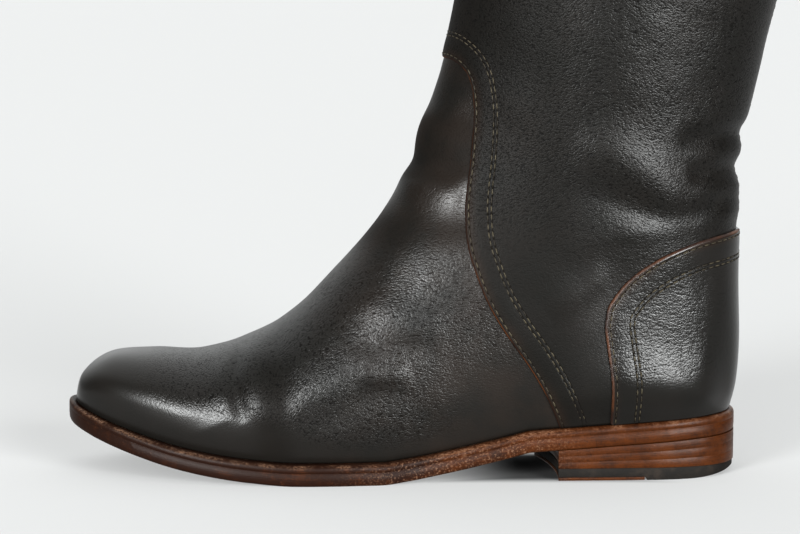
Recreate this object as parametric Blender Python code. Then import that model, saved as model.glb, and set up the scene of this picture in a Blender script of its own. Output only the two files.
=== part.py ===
"""Left over-the-knee riding boot: welted leather sole, stacked heel, lapped upper and heel counter.

Metres, +Z up. The boot stands on the floor z = 0 with its toe towards -X and its outer side
towards -Y. The origin is the middle of the heel's face on the floor. Tables are in millimetres.
"""

import math
from collections import namedtuple

import bmesh
import bpy
import numpy as np

MM = 0.001

# Driving dimensions, in millimetres
GAP = 0.3  # between pieces that touch
UPPER_WALL = 2.0  # leather and lining together
LAP_STEP = 1.0  # the leg's edge stands this far above the vamp
COUNTER_THICKNESS = 1.2
COUNTER_GAP = 0.35  # under the counter, where two curved sheets lie on each other
OUTSOLE_THICKNESS = 5.2
OUTSOLE_INSET = 0.1  # its edge stands this far inside the welt's
TREAD_BEVEL = 0.9  # lower corner of that edge
SEAM_BEVEL = 0.55  # corners where outsole and welt meet
WELT_THICKNESS = 3.4
WELT_ROUND = 1.4  # rounded upper corner of the welt
INSOLE_RISE = 2.2  # top of the insole above the upper's lower edge
INSOLE_CLEARANCE = 0.6  # around the insole
HEEL_LIFTS = 3
LIFT_INSET = 0.5  # the heel's layers stand back from the welt's edge, each by its own amount
TOP_LIFT_INSET = 0.7
HEEL_PAD_INSET = 0.8
TOP_LIFT_THICKNESS = 5.2
HEEL_PAD_THICKNESS = 1.3  # leather let into the front of the rubber top lift
HEEL_PAD_END_X = -2.0
BREAST_OUT_X = -38.0  # front face of the heel at the outer side
BREAST_IN_X = -45.0  # and at the inner side
BREAST_HOLLOW = 3.5  # depth of the curve in that face
BREAST_POINTS = 9  # points of that curve
HEEL_BACK_X = 37.3
SEAT_FROM_X = -50.0  # the sloping seat over the lifts starts here
SEAT_AT_FRONT = 11.9  # its height there
SEAT_AT_BACK = 17.8  # and at HEEL_BACK_X
WORN_FROM_X = 15.5  # the rubber's back corner is worn off from here
WORN_HEIGHT = 2.9

# Facets
SIDE_COLUMNS = 20  # facets from the sole's edge to the front line, each side
VAMP_RINGS = 22  # rings of points from the toe tip to the lap
HEEL_RINGS = 8  # and from the lap along the sole to the heel's back
ANKLE_RINGS = 8  # and from there up the back to the ankle
LEG_RINGS = 12  # and from the ankle to the collar
LAP_ROWS = 0.03  # the lap's step leans over this share of a section
LAP_RINGS = 2  # rings that the vamp runs on under the leg
COUNTER_RINGS = 18  # rings of the leg that the counter is cut from
HALVINGS = 40  # steps of the search for a place on a column
SHARP_ANGLE = 35.0  # degrees; flatter corners are shaded smooth
ROUND_MIDDLE = 1 - math.sqrt(0.5)  # middle of a quarter circle, from its corner
TINY = 1e-6

# Underside of the outsole along the foot, from the toe to the heel's front face
SOLE_LINE = [
    # (x, height): toe spring, flat tread from -146 to -112, then the arch
    (-250.0, 20.6),
    (-237.0, 15.6),
    (-225.0, 11.8),
    (-212.0, 8.6),
    (-198.0, 5.8),
    (-182.0, 3.2),
    (-166.0, 1.3),
    (-146.0, 0.0),
    (-112.0, 0.0),
    (-100.0, 1.4),
    (-83.0, 4.4),
    (-71.0, 6.9),
    (-60.0, 9.4),
    (SEAT_FROM_X, SEAT_AT_FRONT),
]

# How far the sole's edge stands out from the upper's lower edge
LEDGE = [
    # (x, width)
    (-250.0, 3.6),
    (-200.0, 4.4),
    (-140.0, 4.6),
    (-80.0, 3.6),
    (BREAST_OUT_X, 2.6),
    (HEEL_BACK_X, 2.3),
]

# Sections of the foot, toe to heel back. Each is a flat arch that starts on the sole at low_x and
# meets the front line at (top_x, top_z). centre is the front line's sideways place. sole_* are the
# half widths at the sole and half_* at the widest, outer and inner side, both from centre. widest
# is its share of the way up. full_low and full_top are 1 for an ellipse and less for a fuller form.
Foot = namedtuple(
    "Foot",
    "name low_x top_x top_z centre sole_out sole_in half_out half_in widest full_low full_top",
)
FOOT = [
    Foot("toe tip", -241.6, -241.6, 28.4, 6.0, 0.0, 0.0, 0.0, 0.0, 0.40, 1.0, 0.85),
    Foot("toe edge", -237.9, -238.2, 40.6, 6.0, 13.8, 13.8, 14.8, 14.8, 0.40, 1.0, 0.85),
    Foot("toe round", -226.8, -227.5, 48.8, 5.9, 24.8, 24.8, 26.9, 26.9, 0.40, 1.0, 0.86),
    Foot("toe box", -208.5, -209.5, 51.6, 5.3, 33.8, 33.8, 36.8, 36.6, 0.39, 1.0, 0.88),
    Foot("toe break", -187.0, -189.0, 51.6, 4.2, 40.0, 38.2, 43.4, 41.6, 0.37, 1.0, 0.92),
    Foot("ball", -162.0, -167.5, 57.0, 2.8, 43.2, 38.8, 46.8, 42.8, 0.36, 1.0, 0.96),
    Foot("joint", -135.0, -148.0, 69.0, 1.6, 42.8, 34.0, 47.0, 41.4, 0.37, 1.0, 0.99),
    Foot("waist front", -108.0, -132.0, 85.0, 0.9, 39.0, 27.6, 44.6, 39.2, 0.40, 1.0, 1.0),
    Foot("waist", -80.0, -118.0, 100.8, 0.4, 34.2, 24.6, 41.8, 37.8, 0.44, 1.0, 1.0),
    Foot("breast", -50.0, -108.2, 114.4, 0.0, 30.8, 25.4, 39.6, 37.2, 0.48, 0.96, 1.0),
    Foot("seat", -16.0, -101.8, 126.8, 0.0, 28.9, 27.4, 38.6, 37.2, 0.51, 0.90, 1.0),
    Foot("heel", 11.5, -97.8, 137.6, 0.0, 26.3, 25.8, 38.2, 37.4, 0.53, 0.84, 1.0),
    Foot("heel round", 28.2, -94.6, 146.2, 0.0, 17.0, 16.8, 38.0, 37.6, 0.54, 0.82, 1.0),
    Foot("heel back", 33.8, -91.8, 153.8, 0.0, 0.0, 0.0, 38.0, 37.8, 0.55, 0.80, 1.0),
]

# Sections of the leg, heel back to collar: closed rings from the back line to the front line
Leg = namedtuple("Leg", "name low_x low_z top_x top_z half widest full_low full_top")
LEG = [
    Leg("heel low", 36.4, 39.4, -89.2, 161.4, 38.2, 0.55, 0.80, 1.0),
    Leg("heel swell", 37.4, 57.4, -86.6, 169.4, 38.8, 0.54, 0.80, 1.0),
    Leg("heel top", 36.8, 83.4, -84.6, 177.8, 39.8, 0.53, 0.84, 1.0),
    Leg("ankle", 37.4, 113.4, -82.2, 188.4, 41.2, 0.52, 0.90, 1.0),
    Leg("ankle top", 39.6, 141.4, -80.2, 200.4, 43.2, 0.52, 0.94, 0.98),
    Leg("shin", 48.6, 177.4, -77.4, 218.4, 46.0, 0.52, 0.96, 0.97),
    Leg("calf low", 61.0, 227.4, -73.4, 251.4, 50.0, 0.52, 0.97, 0.96),
    Leg("calf", 71.6, 331.0, -69.0, 338.0, 55.0, 0.52, 0.97, 0.95),
    Leg("knee", 63.4, 450.0, -70.8, 450.0, 56.0, 0.51, 0.96, 0.95),
    Leg("thigh", 66.4, 530.0, -76.0, 530.0, 61.0, 0.50, 0.96, 0.96),
    Leg("collar", 69.4, 590.0, -80.0, 590.0, 65.0, 0.50, 0.96, 0.97),
]
HEEL_BACK = len(FOOT) - 1
ANKLE = HEEL_BACK + 4
COLLAR = HEEL_BACK + len(LEG)
LAP_BETWEEN = (6.0, 20.0)  # the lap crosses every column between these section numbers

# The leg's front edge, lapped over the vamp: a line in the side view from the sole to the shin
LAP_EDGE = [
    # (height, x)
    (19.2, -36.6),
    (47.2, -50.5),
    (72.2, -63.0),
    (91.2, -71.0),
    (106.2, -75.0),
    (121.2, -76.2),
    (138.2, -75.4),
    (154.2, -76.0),
    (165.2, -78.6),
    (174.7, -86.0),
]

# The counter's front and top edge in the side view, from the sole to the back line
COUNTER_EDGE = [
    # (x, height)
    (-16.7, 16.2),
    (-16.9, 40.2),
    (-18.6, 55.2),
    (-19.9, 65.2),
    (-18.6, 73.2),
    (-13.6, 80.7),
    (-5.2, 88.4),
    (7.0, 95.4),
    (21.0, 100.2),
    (44.0, 104.2),
]


def column(rows, name):
    return np.array([getattr(row, name) for row in rows])


def smooth(values, at, flat_start=False, flat_end=False):
    """Cubic curve through values at 0, 1, 2 and so on, read at the given places."""
    values = np.asarray(values, float)
    before = values[1] if flat_start else 2 * values[0] - values[1]
    after = values[-2] if flat_end else 2 * values[-1] - values[-2]
    padded = np.concatenate([[before], values, [after]])
    slope = (padded[2:] - padded[:-2]) / 2
    row = np.clip(np.floor(at).astype(int), 0, len(values) - 2)
    t = at - row
    start, end = values[row], values[row + 1]
    return (
        start * (1 + 2 * t) * (1 - t) ** 2
        + slope[row] * t * (1 - t) ** 2
        + end * t**2 * (3 - 2 * t)
        + slope[row + 1] * t**2 * (t - 1)
    )


def through(table, at):
    """Curve through (place, value) rows that never overshoots them, read at the given places."""
    place, value = np.array(table, float).T
    step = np.diff(place)
    rise = np.diff(value) / step
    slope = np.concatenate([[rise[0]], np.zeros(len(rise) - 1), [rise[-1]]])
    same_way = rise[:-1] * rise[1:] > 0
    safe = np.where(same_way, rise[:-1] + rise[1:], 1.0)
    slope[1:-1] = np.where(same_way, 2 * rise[:-1] * rise[1:] / safe, 0.0)
    at = np.clip(at, place[0], place[-1])
    row = np.clip(np.searchsorted(place, at, side="right") - 1, 0, len(step) - 1)
    t = (at - place[row]) / step[row]
    return (
        value[row] * (1 + 2 * t) * (1 - t) ** 2
        + slope[row] * step[row] * t * (1 - t) ** 2
        + value[row + 1] * t**2 * (3 - 2 * t)
        + slope[row + 1] * step[row] * t**2 * (t - 1)
    )


def sole_bottom(x):
    """Height of the outsole's underside: toe spring, tread and arch, then the sloping heel seat."""
    slope = (SEAT_AT_BACK - SEAT_AT_FRONT) / (HEEL_BACK_X - SEAT_FROM_X)
    seat = SEAT_AT_FRONT + slope * (x - SEAT_FROM_X)
    return np.where(x < SEAT_FROM_X, through(SOLE_LINE, x), seat)


WELT_BOTTOM = OUTSOLE_THICKNESS + GAP
WELT_TOP = WELT_BOTTOM + WELT_THICKNESS
UPPER_BOTTOM = WELT_TOP + GAP


def lower_edge(v):
    """The upper's lower edge, then its back line: x, height and half widths at section number v."""
    on_foot = np.minimum(v, HEEL_BACK)
    on_leg = np.maximum(v - HEEL_BACK, 0.0)
    foot_x = smooth(column(FOOT, "low_x"), on_foot, flat_start=True, flat_end=True)
    back_x = [FOOT[-1].low_x, *column(LEG, "low_x")]
    back_z = [float(sole_bottom(FOOT[-1].low_x)) + UPPER_BOTTOM, *column(LEG, "low_z")]
    x = np.where(v < HEEL_BACK, foot_x, smooth(back_x, on_leg))
    z = np.where(v < HEEL_BACK, sole_bottom(foot_x) + UPPER_BOTTOM, smooth(back_z, on_leg))
    out = np.where(v < HEEL_BACK, smooth(column(FOOT, "sole_out"), on_foot), 0.0)
    inner = np.where(v < HEEL_BACK, smooth(column(FOOT, "sole_in"), on_foot), 0.0)
    return x, z, np.maximum(out, 0.0), np.maximum(inner, 0.0)


def along(name, v, leg_name=None):
    """A section value that runs from the foot into the leg without a break."""
    leg_values = column(LEG, leg_name or name)
    return smooth(np.concatenate([column(FOOT, name), leg_values]), v)


def upper_form(u, v, inner_side):
    """Point of the upper's outer form: u goes from the lower edge (0) to the front line (1), v counts
    sections. In a section's plane the half width is half * cos(a) ** fullness, and the way up is
    widest * (1 + sin(a) / sin(low)) under the widest place and widest + (1 - widest) * sin(a) over it.
    """
    low_x, low_z, sole_out, sole_in = lower_edge(v)
    top_x, top_z = along("top_x", v), along("top_z", v)
    widest = along("widest", v)
    half = np.where(inner_side, along("half_in", v, "half"), along("half_out", v, "half"))
    sole_half = np.where(inner_side, sole_in, sole_out)
    half = np.maximum(half, TINY)
    full_low, full_top = along("full_low", v), along("full_top", v)
    low_angle = np.arccos(np.clip(sole_half / half, 0.0, 1.0) ** (1 / full_low))
    low_angle = np.maximum(low_angle, MM)
    angle = -low_angle + (low_angle + math.pi / 2) * u
    rise = np.sin(angle)
    up = np.where(
        angle < 0, widest * (1 + rise / np.sin(low_angle)), widest + (1 - widest) * rise
    )
    fullness = np.where(angle < 0, full_low, full_top)
    across = half * np.maximum(np.cos(angle), 0.0) ** fullness
    centre = np.where(v < HEEL_BACK, smooth(column(FOOT, "centre"), np.minimum(v, HEEL_BACK)), 0.0)
    x = low_x + (top_x - low_x) * up
    y = centre + np.where(inner_side, across, -across)
    z = low_z + (top_z - low_z) * up
    return np.stack([x, y, z], axis=-1)


def find_lap(u, inner_side):
    """Section number where each column u crosses the lap's edge, found by halving."""
    low, high = np.full_like(u, LAP_BETWEEN[0]), np.full_like(u, LAP_BETWEEN[1])
    for _ in range(HALVINGS):
        middle = (low + high) / 2
        point = upper_form(u, middle, inner_side)
        behind = point[..., 0] > through(LAP_EDGE, point[..., 2])
        high = np.where(behind, middle, high)
        low = np.where(behind, low, middle)
    return (low + high) / 2


def columns():
    """Column places once round the upper: outer lower edge, front line, inner lower edge."""
    side = np.linspace(0.0, 1.0, SIDE_COLUMNS + 1)
    u = np.concatenate([side, side[-2::-1]])
    inner_side = np.arange(len(u)) > SIDE_COLUMNS
    return u, inner_side


def weld(index, points):
    """Drops the unused duplicates of grid points that share a number."""
    used, numbers = np.unique(index, return_inverse=True)
    return numbers.reshape(index.shape), points.reshape(-1, 3)[used]


def facets(index):
    """Triangles of a grid of point numbers, alike on both sides; none has a doubled corner."""
    faces = []
    for a, b in zip(index[:-1], index[1:]):
        for place, corner in enumerate(zip(a[:-1], b[:-1], b[1:], a[1:])):
            p, q, r, s = (int(n) for n in corner)
            pair = ([p, q, r], [p, r, s]) if place < len(a) // 2 else ([p, q, s], [q, r, s])
            faces += [face for face in pair if len(set(face)) == 3]
    return faces


def point_normals(points, faces):
    """Unit normals of the upper's sheet, from the faces around each point; level on the sole."""
    normals = np.zeros_like(points)
    for face in faces:
        a, b, c = points[face]
        normals[face] += np.cross(b - a, c - a)
    on_welt = points[:, 2] < sole_bottom(points[:, 0]) + UPPER_BOTTOM + TINY
    normals[on_welt, 2] = 0.0
    return normals / np.linalg.norm(normals, axis=1, keepdims=True)


def border_edges(faces):
    """Directed edges that belong to one face only."""
    edges = {(a, b) for face in faces for a, b in zip(face, face[1:] + face[:1])}
    return [(a, b) for a, b in edges if (b, a) not in edges]


def make_object(name, points, faces, material):
    """A node from points in millimetres."""
    mesh = bpy.data.meshes.new(name)
    mesh.from_pydata((np.asarray(points) * MM).tolist(), [], faces)
    mesh.validate()
    mesh.shade_smooth()
    mesh.set_sharp_from_angle(angle=math.radians(SHARP_ANGLE))
    mesh.materials.append(material)
    node = bpy.data.objects.new(name, mesh)
    bpy.context.scene.collection.objects.link(node)
    return node


def make_wall(name, sheet, faces, outer, inner, material, normals=None):
    """A closed wall around a sheet: outer and inner are offsets along its normals at each point."""
    if normals is None:
        normals = point_normals(sheet, faces)
    count = len(sheet)
    points = np.concatenate([sheet + outer[:, None] * normals, sheet + inner[:, None] * normals])
    walls = list(faces)
    walls += [[n + count for n in reversed(face)] for face in faces]
    walls += [[b, a, a + count, b + count] for a, b in border_edges(faces)]
    return make_object(name, points, walls, material)


def make_material(name, colour, roughness):
    material = bpy.data.materials.new(name)
    material.use_nodes = True
    shader = material.node_tree.nodes["Principled BSDF"]
    shader.inputs["Base Color"].default_value = (*colour, 1.0)
    shader.inputs["Roughness"].default_value = roughness
    shader.inputs["Metallic"].default_value = 0.0
    return material


def build_upper(material):
    """Vamp and leg as one hollow wall, open under the foot and at the collar, stepped at the lap.
    Returns the leg's part of the sheet, its ring and column point numbers included.
    """
    u, inner_side = columns()
    lap = find_lap(u, inner_side)
    vamp = [lap * t for t in np.linspace(0.0, 1.0, VAMP_RINGS)]
    to_heel = np.linspace(lap[0] + LAP_ROWS, HEEL_BACK, HEEL_RINGS)
    to_ankle = np.linspace(HEEL_BACK, ANKLE, ANKLE_RINGS + 1)[1:]
    to_collar = np.linspace(ANKLE, COLLAR, LEG_RINGS + 1)[1:]
    low_places = np.concatenate([to_heel, to_ankle, to_collar])
    share = (low_places - lap[0]) / (COLLAR - lap[0])
    leg = [lap + (COLLAR - lap) * t for t in share]
    v = np.array(vamp + leg)
    rings, places = v.shape
    grid = upper_form(np.broadcast_to(u, v.shape), v, inner_side)
    index = np.arange(rings * places).reshape(v.shape)
    index[0] = index[0, 0]
    closed = v[:, 0] > HEEL_BACK - TINY
    index[closed, -1] = index[closed, 0]
    on_leg = np.repeat(np.arange(rings) >= VAMP_RINGS, places)
    past_lap = np.repeat(np.arange(rings) >= VAMP_RINGS + LAP_RINGS, places)
    used = np.unique(index)
    numbers, sheet = weld(index, grid)
    faces = facets(numbers)
    outer = np.where(on_leg, LAP_STEP, 0.0)[used]
    inner = np.where(past_lap, LAP_STEP - UPPER_WALL, -UPPER_WALL)[used]
    make_wall("upper", sheet, faces, outer, inner, material)
    return numbers[VAMP_RINGS:], sheet, faces


def build_counter(leg, sheet, sheet_faces, material):
    """Overlay around the heel: a layer over the leg's own sheet, cut to its edge in the side view."""
    normals = point_normals(sheet, sheet_faces)
    index, points = weld(leg[:COUNTER_RINGS], sheet)
    _, normals = weld(leg[:COUNTER_RINGS], normals)
    inner = np.full(len(points), LAP_STEP + COUNTER_GAP)
    layer = make_wall(
        "counter", points, facets(index), inner + COUNTER_THICKNESS, inner, material, normals
    )
    row_count = len(COUNTER_EDGE)
    t = np.linspace(0.0, row_count - 1.0, 3 * row_count)
    edge_x = smooth([x for x, _ in COUNTER_EDGE], t)
    edge_z = smooth([z for _, z in COUNTER_EDGE], t)
    clear = 2 * HEEL_BACK_X  # well outside the heel
    profile = [*zip(edge_x, edge_z), (clear, edge_z[-1]), (clear, edge_z[0])]
    count = len(profile)
    cutter_points = [(x, y, z) for y in (-clear, clear) for x, z in profile]
    cutter_faces = [list(range(count)), list(range(2 * count - 1, count - 1, -1))]
    for n in range(count):
        m = (n + 1) % count
        cutter_faces.append([m, n, n + count, m + count])
    cutter = make_object("counter_cut", cutter_points, cutter_faces, material)
    face_out(cutter)
    cutter.hide_render = True
    cutter.display_type = "WIRE"
    cut = layer.modifiers.new("edge", "BOOLEAN")
    cut.operation = "INTERSECT"
    cut.solver = "EXACT"
    cut.object = cutter


def face_out(node):
    """Turns every face of a closed mesh outwards."""
    mesh = bmesh.new()
    mesh.from_mesh(node.data)
    bmesh.ops.recalc_face_normals(mesh, faces=mesh.faces)
    mesh.to_mesh(node.data)
    mesh.free()


def sole_places():
    """Section numbers of the points on the lower edge, the same as the upper's rings there."""
    lap = find_lap(np.zeros(1), False)[0]
    to_heel = np.linspace(lap + LAP_ROWS, HEEL_BACK, HEEL_RINGS)
    return np.concatenate([np.linspace(0.0, lap, VAMP_RINGS), to_heel[1:]])


def outline(offset):
    """Closed plan outline around the upper's lower edge, moved outwards by offset: from the toe tip
    along the outer side to the heel's back, then along the inner side. offset may depend on x.
    """
    v = sole_places()
    x, _, out, inner = lower_edge(v)
    out[-1] = inner[-1] = 0.0
    centre = smooth(column(FOOT, "centre"), v)
    outer_side = np.stack([x, centre - out], axis=-1)
    inner_side = np.stack([x, centre + inner], axis=-1)
    loop = np.concatenate([outer_side, inner_side[-2:0:-1]])
    tangent = np.roll(loop, -1, axis=0) - np.roll(loop, 1, axis=0)
    tangent /= np.linalg.norm(tangent, axis=1, keepdims=True)
    distance = offset(loop[:, 0]) if callable(offset) else np.full(len(loop), offset)
    return loop + distance[:, None] * np.stack([tangent[:, 1], -tangent[:, 0]], axis=-1)


def ledge(inset):
    return lambda x: through(LEDGE, x) - inset


def on_sole(loop, height):
    """Plan points lifted to a height above the outsole's underside."""
    return np.column_stack([loop, sole_bottom(loop[:, 0]) + height])


def build_sole_layer(name, levels, material):
    """Solid with the sole's outline: levels are (offset, height) from the bottom to the top."""
    rings = [on_sole(outline(offset), height) for offset, height in levels]
    count = len(rings[0])
    faces = []
    for level in range(len(rings) - 1):
        for n in range(count):
            a, b = level * count + n, level * count + (n + 1) % count
            faces.append([a, b, b + count, a + count])
    # caps run across the sole in strips between the outer and inner side
    last = count // 2
    outer_side = list(range(last + 1))
    inner_side = [0, *range(count - 1, last - 1, -1)]
    top = (len(rings) - 1) * count
    for k in range(last):
        strip = [outer_side[k], outer_side[k + 1], inner_side[k + 1], inner_side[k]]
        strip = list(dict.fromkeys(strip))
        faces.append([n + top for n in strip])
        faces.append(strip[::-1])
    return make_object(name, np.concatenate(rings), faces, material)


def build_welt(material):
    """Ring around the upper's lower edge with a rounded upper corner."""
    section = [
        (-UPPER_WALL, WELT_BOTTOM),
        (ledge(SEAM_BEVEL), WELT_BOTTOM),
        (ledge(0.0), WELT_BOTTOM + SEAM_BEVEL),
        (ledge(0.0), WELT_TOP - WELT_ROUND),
        (ledge(WELT_ROUND * ROUND_MIDDLE), WELT_TOP - WELT_ROUND * ROUND_MIDDLE),
        (ledge(WELT_ROUND), WELT_TOP),
        (-UPPER_WALL, WELT_TOP),
    ]
    rings = [on_sole(outline(offset), height) for offset, height in section]
    count = len(rings[0])
    faces = []
    for level in range(len(rings)):
        after = (level + 1) % len(rings)
        for n in range(count):
            m = (n + 1) % count
            faces.append([level * count + n, level * count + m, after * count + m, after * count + n])
    return make_object("welt", np.concatenate(rings), faces, material)


def clip(loop, x_limit, keep_below):
    """Part of a closed plan outline on one side of x_limit."""
    kept = []
    sign = 1 if keep_below else -1
    for p, q in zip(loop, np.roll(loop, -1, axis=0)):
        p_in, q_in = sign * (x_limit - p[0]) >= 0, sign * (x_limit - q[0]) >= 0
        if p_in:
            kept.append(p)
        if p_in != q_in and min(abs(p[0] - x_limit), abs(q[0] - x_limit)) > TINY:
            t = (x_limit - p[0]) / (q[0] - p[0])
            kept.append(np.array([x_limit, p[1] + t * (q[1] - p[1])]))
    return np.array(kept)


def heel_outline(inset):
    """The sole's outline behind the heel's front face, which is curved and set askew."""
    loop = outline(ledge(inset))
    half = len(loop) // 2 + 1
    outer_side, inner_side = loop[:half], loop[half:]
    outer_y = np.interp(BREAST_OUT_X, outer_side[:, 0], outer_side[:, 1])
    inner_y = np.interp(BREAST_IN_X, inner_side[::-1, 0], inner_side[::-1, 1])
    t = np.linspace(0.0, 1.0, BREAST_POINTS)
    breast_x = BREAST_IN_X + (BREAST_OUT_X - BREAST_IN_X) * t + BREAST_HOLLOW * 4 * t * (1 - t)
    breast = np.column_stack([breast_x, inner_y + (outer_y - inner_y) * t])
    outer_side = outer_side[outer_side[:, 0] > BREAST_OUT_X + GAP]
    inner_side = inner_side[inner_side[:, 0] > BREAST_IN_X + GAP]
    return np.concatenate([outer_side, inner_side, breast])


def build_slab(name, loop, bottom, top, material, breaks=()):
    """Solid over a plan outline between two heights that are straight lines between the breaks."""
    numbers, points, faces = {}, [], []

    def number(p, level):
        key = (round(float(p[0]), 4), round(float(p[1]), 4), level)
        if key not in numbers:
            numbers[key] = len(points)
            points.append((p[0], p[1], float((top if level else bottom)(p[0]))))
        return numbers[key]

    limits = [-math.inf, *breaks, math.inf]
    for low, high in zip(limits[:-1], limits[1:]):
        strip = clip(clip(loop, low, False), high, True)
        faces.append([number(p, 1) for p in strip])
        faces.append([number(p, 0) for p in strip[::-1]])
        for p, q in zip(strip, np.roll(strip, -1, axis=0)):
            shared = any(max(abs(p[0] - x), abs(q[0] - x)) < TINY for x in breaks)
            if not shared:
                faces.append([number(p, 0), number(q, 0), number(q, 1), number(p, 1)])
    return make_object(name, points, faces, material)


def build_heel(stack, rubber):
    """Three lifts that follow the slope of the seat, the rubber top lift and its leather pad."""

    def lift_height(x, share):
        return TOP_LIFT_THICKNESS + (float(sole_bottom(x)) - TOP_LIFT_THICKNESS) * share

    for lift in range(HEEL_LIFTS):
        low, high = lift / HEEL_LIFTS, (lift + 1) / HEEL_LIFTS
        build_slab(
            f"heel_lift_{HEEL_LIFTS - lift}",
            heel_outline(LIFT_INSET),
            lambda x, low=low: lift_height(x, low),
            lambda x, high=high: lift_height(x, high) - GAP,
            stack,
        )
    recess = HEEL_PAD_THICKNESS + GAP
    under = [
        (HEEL_PAD_END_X, recess),
        (HEEL_PAD_END_X + GAP, 0.0),
        (WORN_FROM_X, 0.0),
        (HEEL_BACK_X, WORN_HEIGHT),
    ]
    place, height = zip(*under)
    build_slab(
        "top_lift",
        heel_outline(TOP_LIFT_INSET),
        lambda x: np.interp(x, place, height),
        lambda x: TOP_LIFT_THICKNESS - GAP,
        rubber,
        breaks=place[:-1],
    )
    pad = clip(heel_outline(HEEL_PAD_INSET), HEEL_PAD_END_X - GAP, True)
    build_slab("heel_pad", pad, lambda x: 0.0, lambda x: HEEL_PAD_THICKNESS, stack)


def main():
    for old in list(bpy.data.objects):
        bpy.data.objects.remove(old)
    dark = make_material("dark_leather", colour=(0.030, 0.024, 0.020), roughness=0.42)
    brown = make_material("brown_leather", colour=(0.200, 0.082, 0.036), roughness=0.45)
    tan = make_material("insole_leather", colour=(0.330, 0.220, 0.130), roughness=0.60)
    rubber = make_material("black_rubber", colour=(0.035, 0.032, 0.030), roughness=0.70)
    build_counter(*build_upper(dark), dark)
    insole_edge = -UPPER_WALL - INSOLE_CLEARANCE
    build_sole_layer(
        "insole",
        [(insole_edge, WELT_BOTTOM), (insole_edge, UPPER_BOTTOM + INSOLE_RISE)],
        tan,
    )
    build_welt(brown)
    build_sole_layer(
        "outsole",
        [
            (ledge(OUTSOLE_INSET + TREAD_BEVEL), 0.0),
            (ledge(OUTSOLE_INSET), TREAD_BEVEL),
            (ledge(OUTSOLE_INSET), OUTSOLE_THICKNESS - SEAM_BEVEL),
            (ledge(OUTSOLE_INSET + SEAM_BEVEL), OUTSOLE_THICKNESS),
        ],
        brown,
    )
    build_heel(brown, rubber)


main()
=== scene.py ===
import itertools
import math
from collections import namedtuple

import bpy
import numpy as np
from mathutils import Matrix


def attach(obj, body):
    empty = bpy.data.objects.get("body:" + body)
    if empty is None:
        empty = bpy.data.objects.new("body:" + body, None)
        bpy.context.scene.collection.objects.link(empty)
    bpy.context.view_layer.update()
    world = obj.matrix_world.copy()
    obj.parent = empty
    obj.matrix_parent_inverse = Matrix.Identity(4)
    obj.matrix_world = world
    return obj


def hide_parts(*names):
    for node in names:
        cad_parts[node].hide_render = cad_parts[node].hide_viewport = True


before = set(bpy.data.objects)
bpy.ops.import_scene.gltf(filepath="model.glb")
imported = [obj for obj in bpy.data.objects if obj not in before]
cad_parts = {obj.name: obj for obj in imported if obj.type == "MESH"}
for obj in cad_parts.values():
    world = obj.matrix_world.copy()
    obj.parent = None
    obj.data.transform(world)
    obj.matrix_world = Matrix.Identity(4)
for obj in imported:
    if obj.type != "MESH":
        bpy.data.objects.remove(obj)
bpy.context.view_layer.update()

# The left boot of a pair. Sizes are in millimetres and become metres when a mesh is made. The toe points
# to -X, the outer side is -Y, +Z is up, and the origin is the middle of the heel's face on the floor.

# Vamp: the front of the upper, cut from one piece of dark waxed leather, pulled over the foot form
# and held between insole and welt. Its back edge runs on under the leg. Walking has creased it
# across the ball of the foot, while the toe stays smooth.
MM = 0.001
LEATHER = 1.0  # thickness of the outer leather
OUTSOLE_THICKNESS = 5.2
WELT_BOTTOM = OUTSOLE_THICKNESS + 0.3
WELT_TOP = WELT_BOTTOM + 3.4
UPPER_BOTTOM = WELT_TOP + 0.3
HEEL_BACK_X = 37.3
SEAT_FROM_X = -50.0
SEAT_AT_FRONT = 11.9
SEAT_AT_BACK = 17.8
SOLE_LINE = [
    # (x, height): toe spring, flat tread, then the arch up to the heel seat
    (-250.0, 23.4),
    (-237.0, 17.9),
    (-225.0, 13.6),
    (-212.0, 9.7),
    (-198.0, 6.1),
    (-182.0, 3.2),
    (-166.0, 1.3),
    (-146.0, 0.0),
    (-112.0, 0.0),
    (-100.0, 1.4),
    (-83.0, 4.4),
    (-71.0, 6.9),
    (-60.0, 9.4),
    (SEAT_FROM_X, SEAT_AT_FRONT),
]

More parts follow.
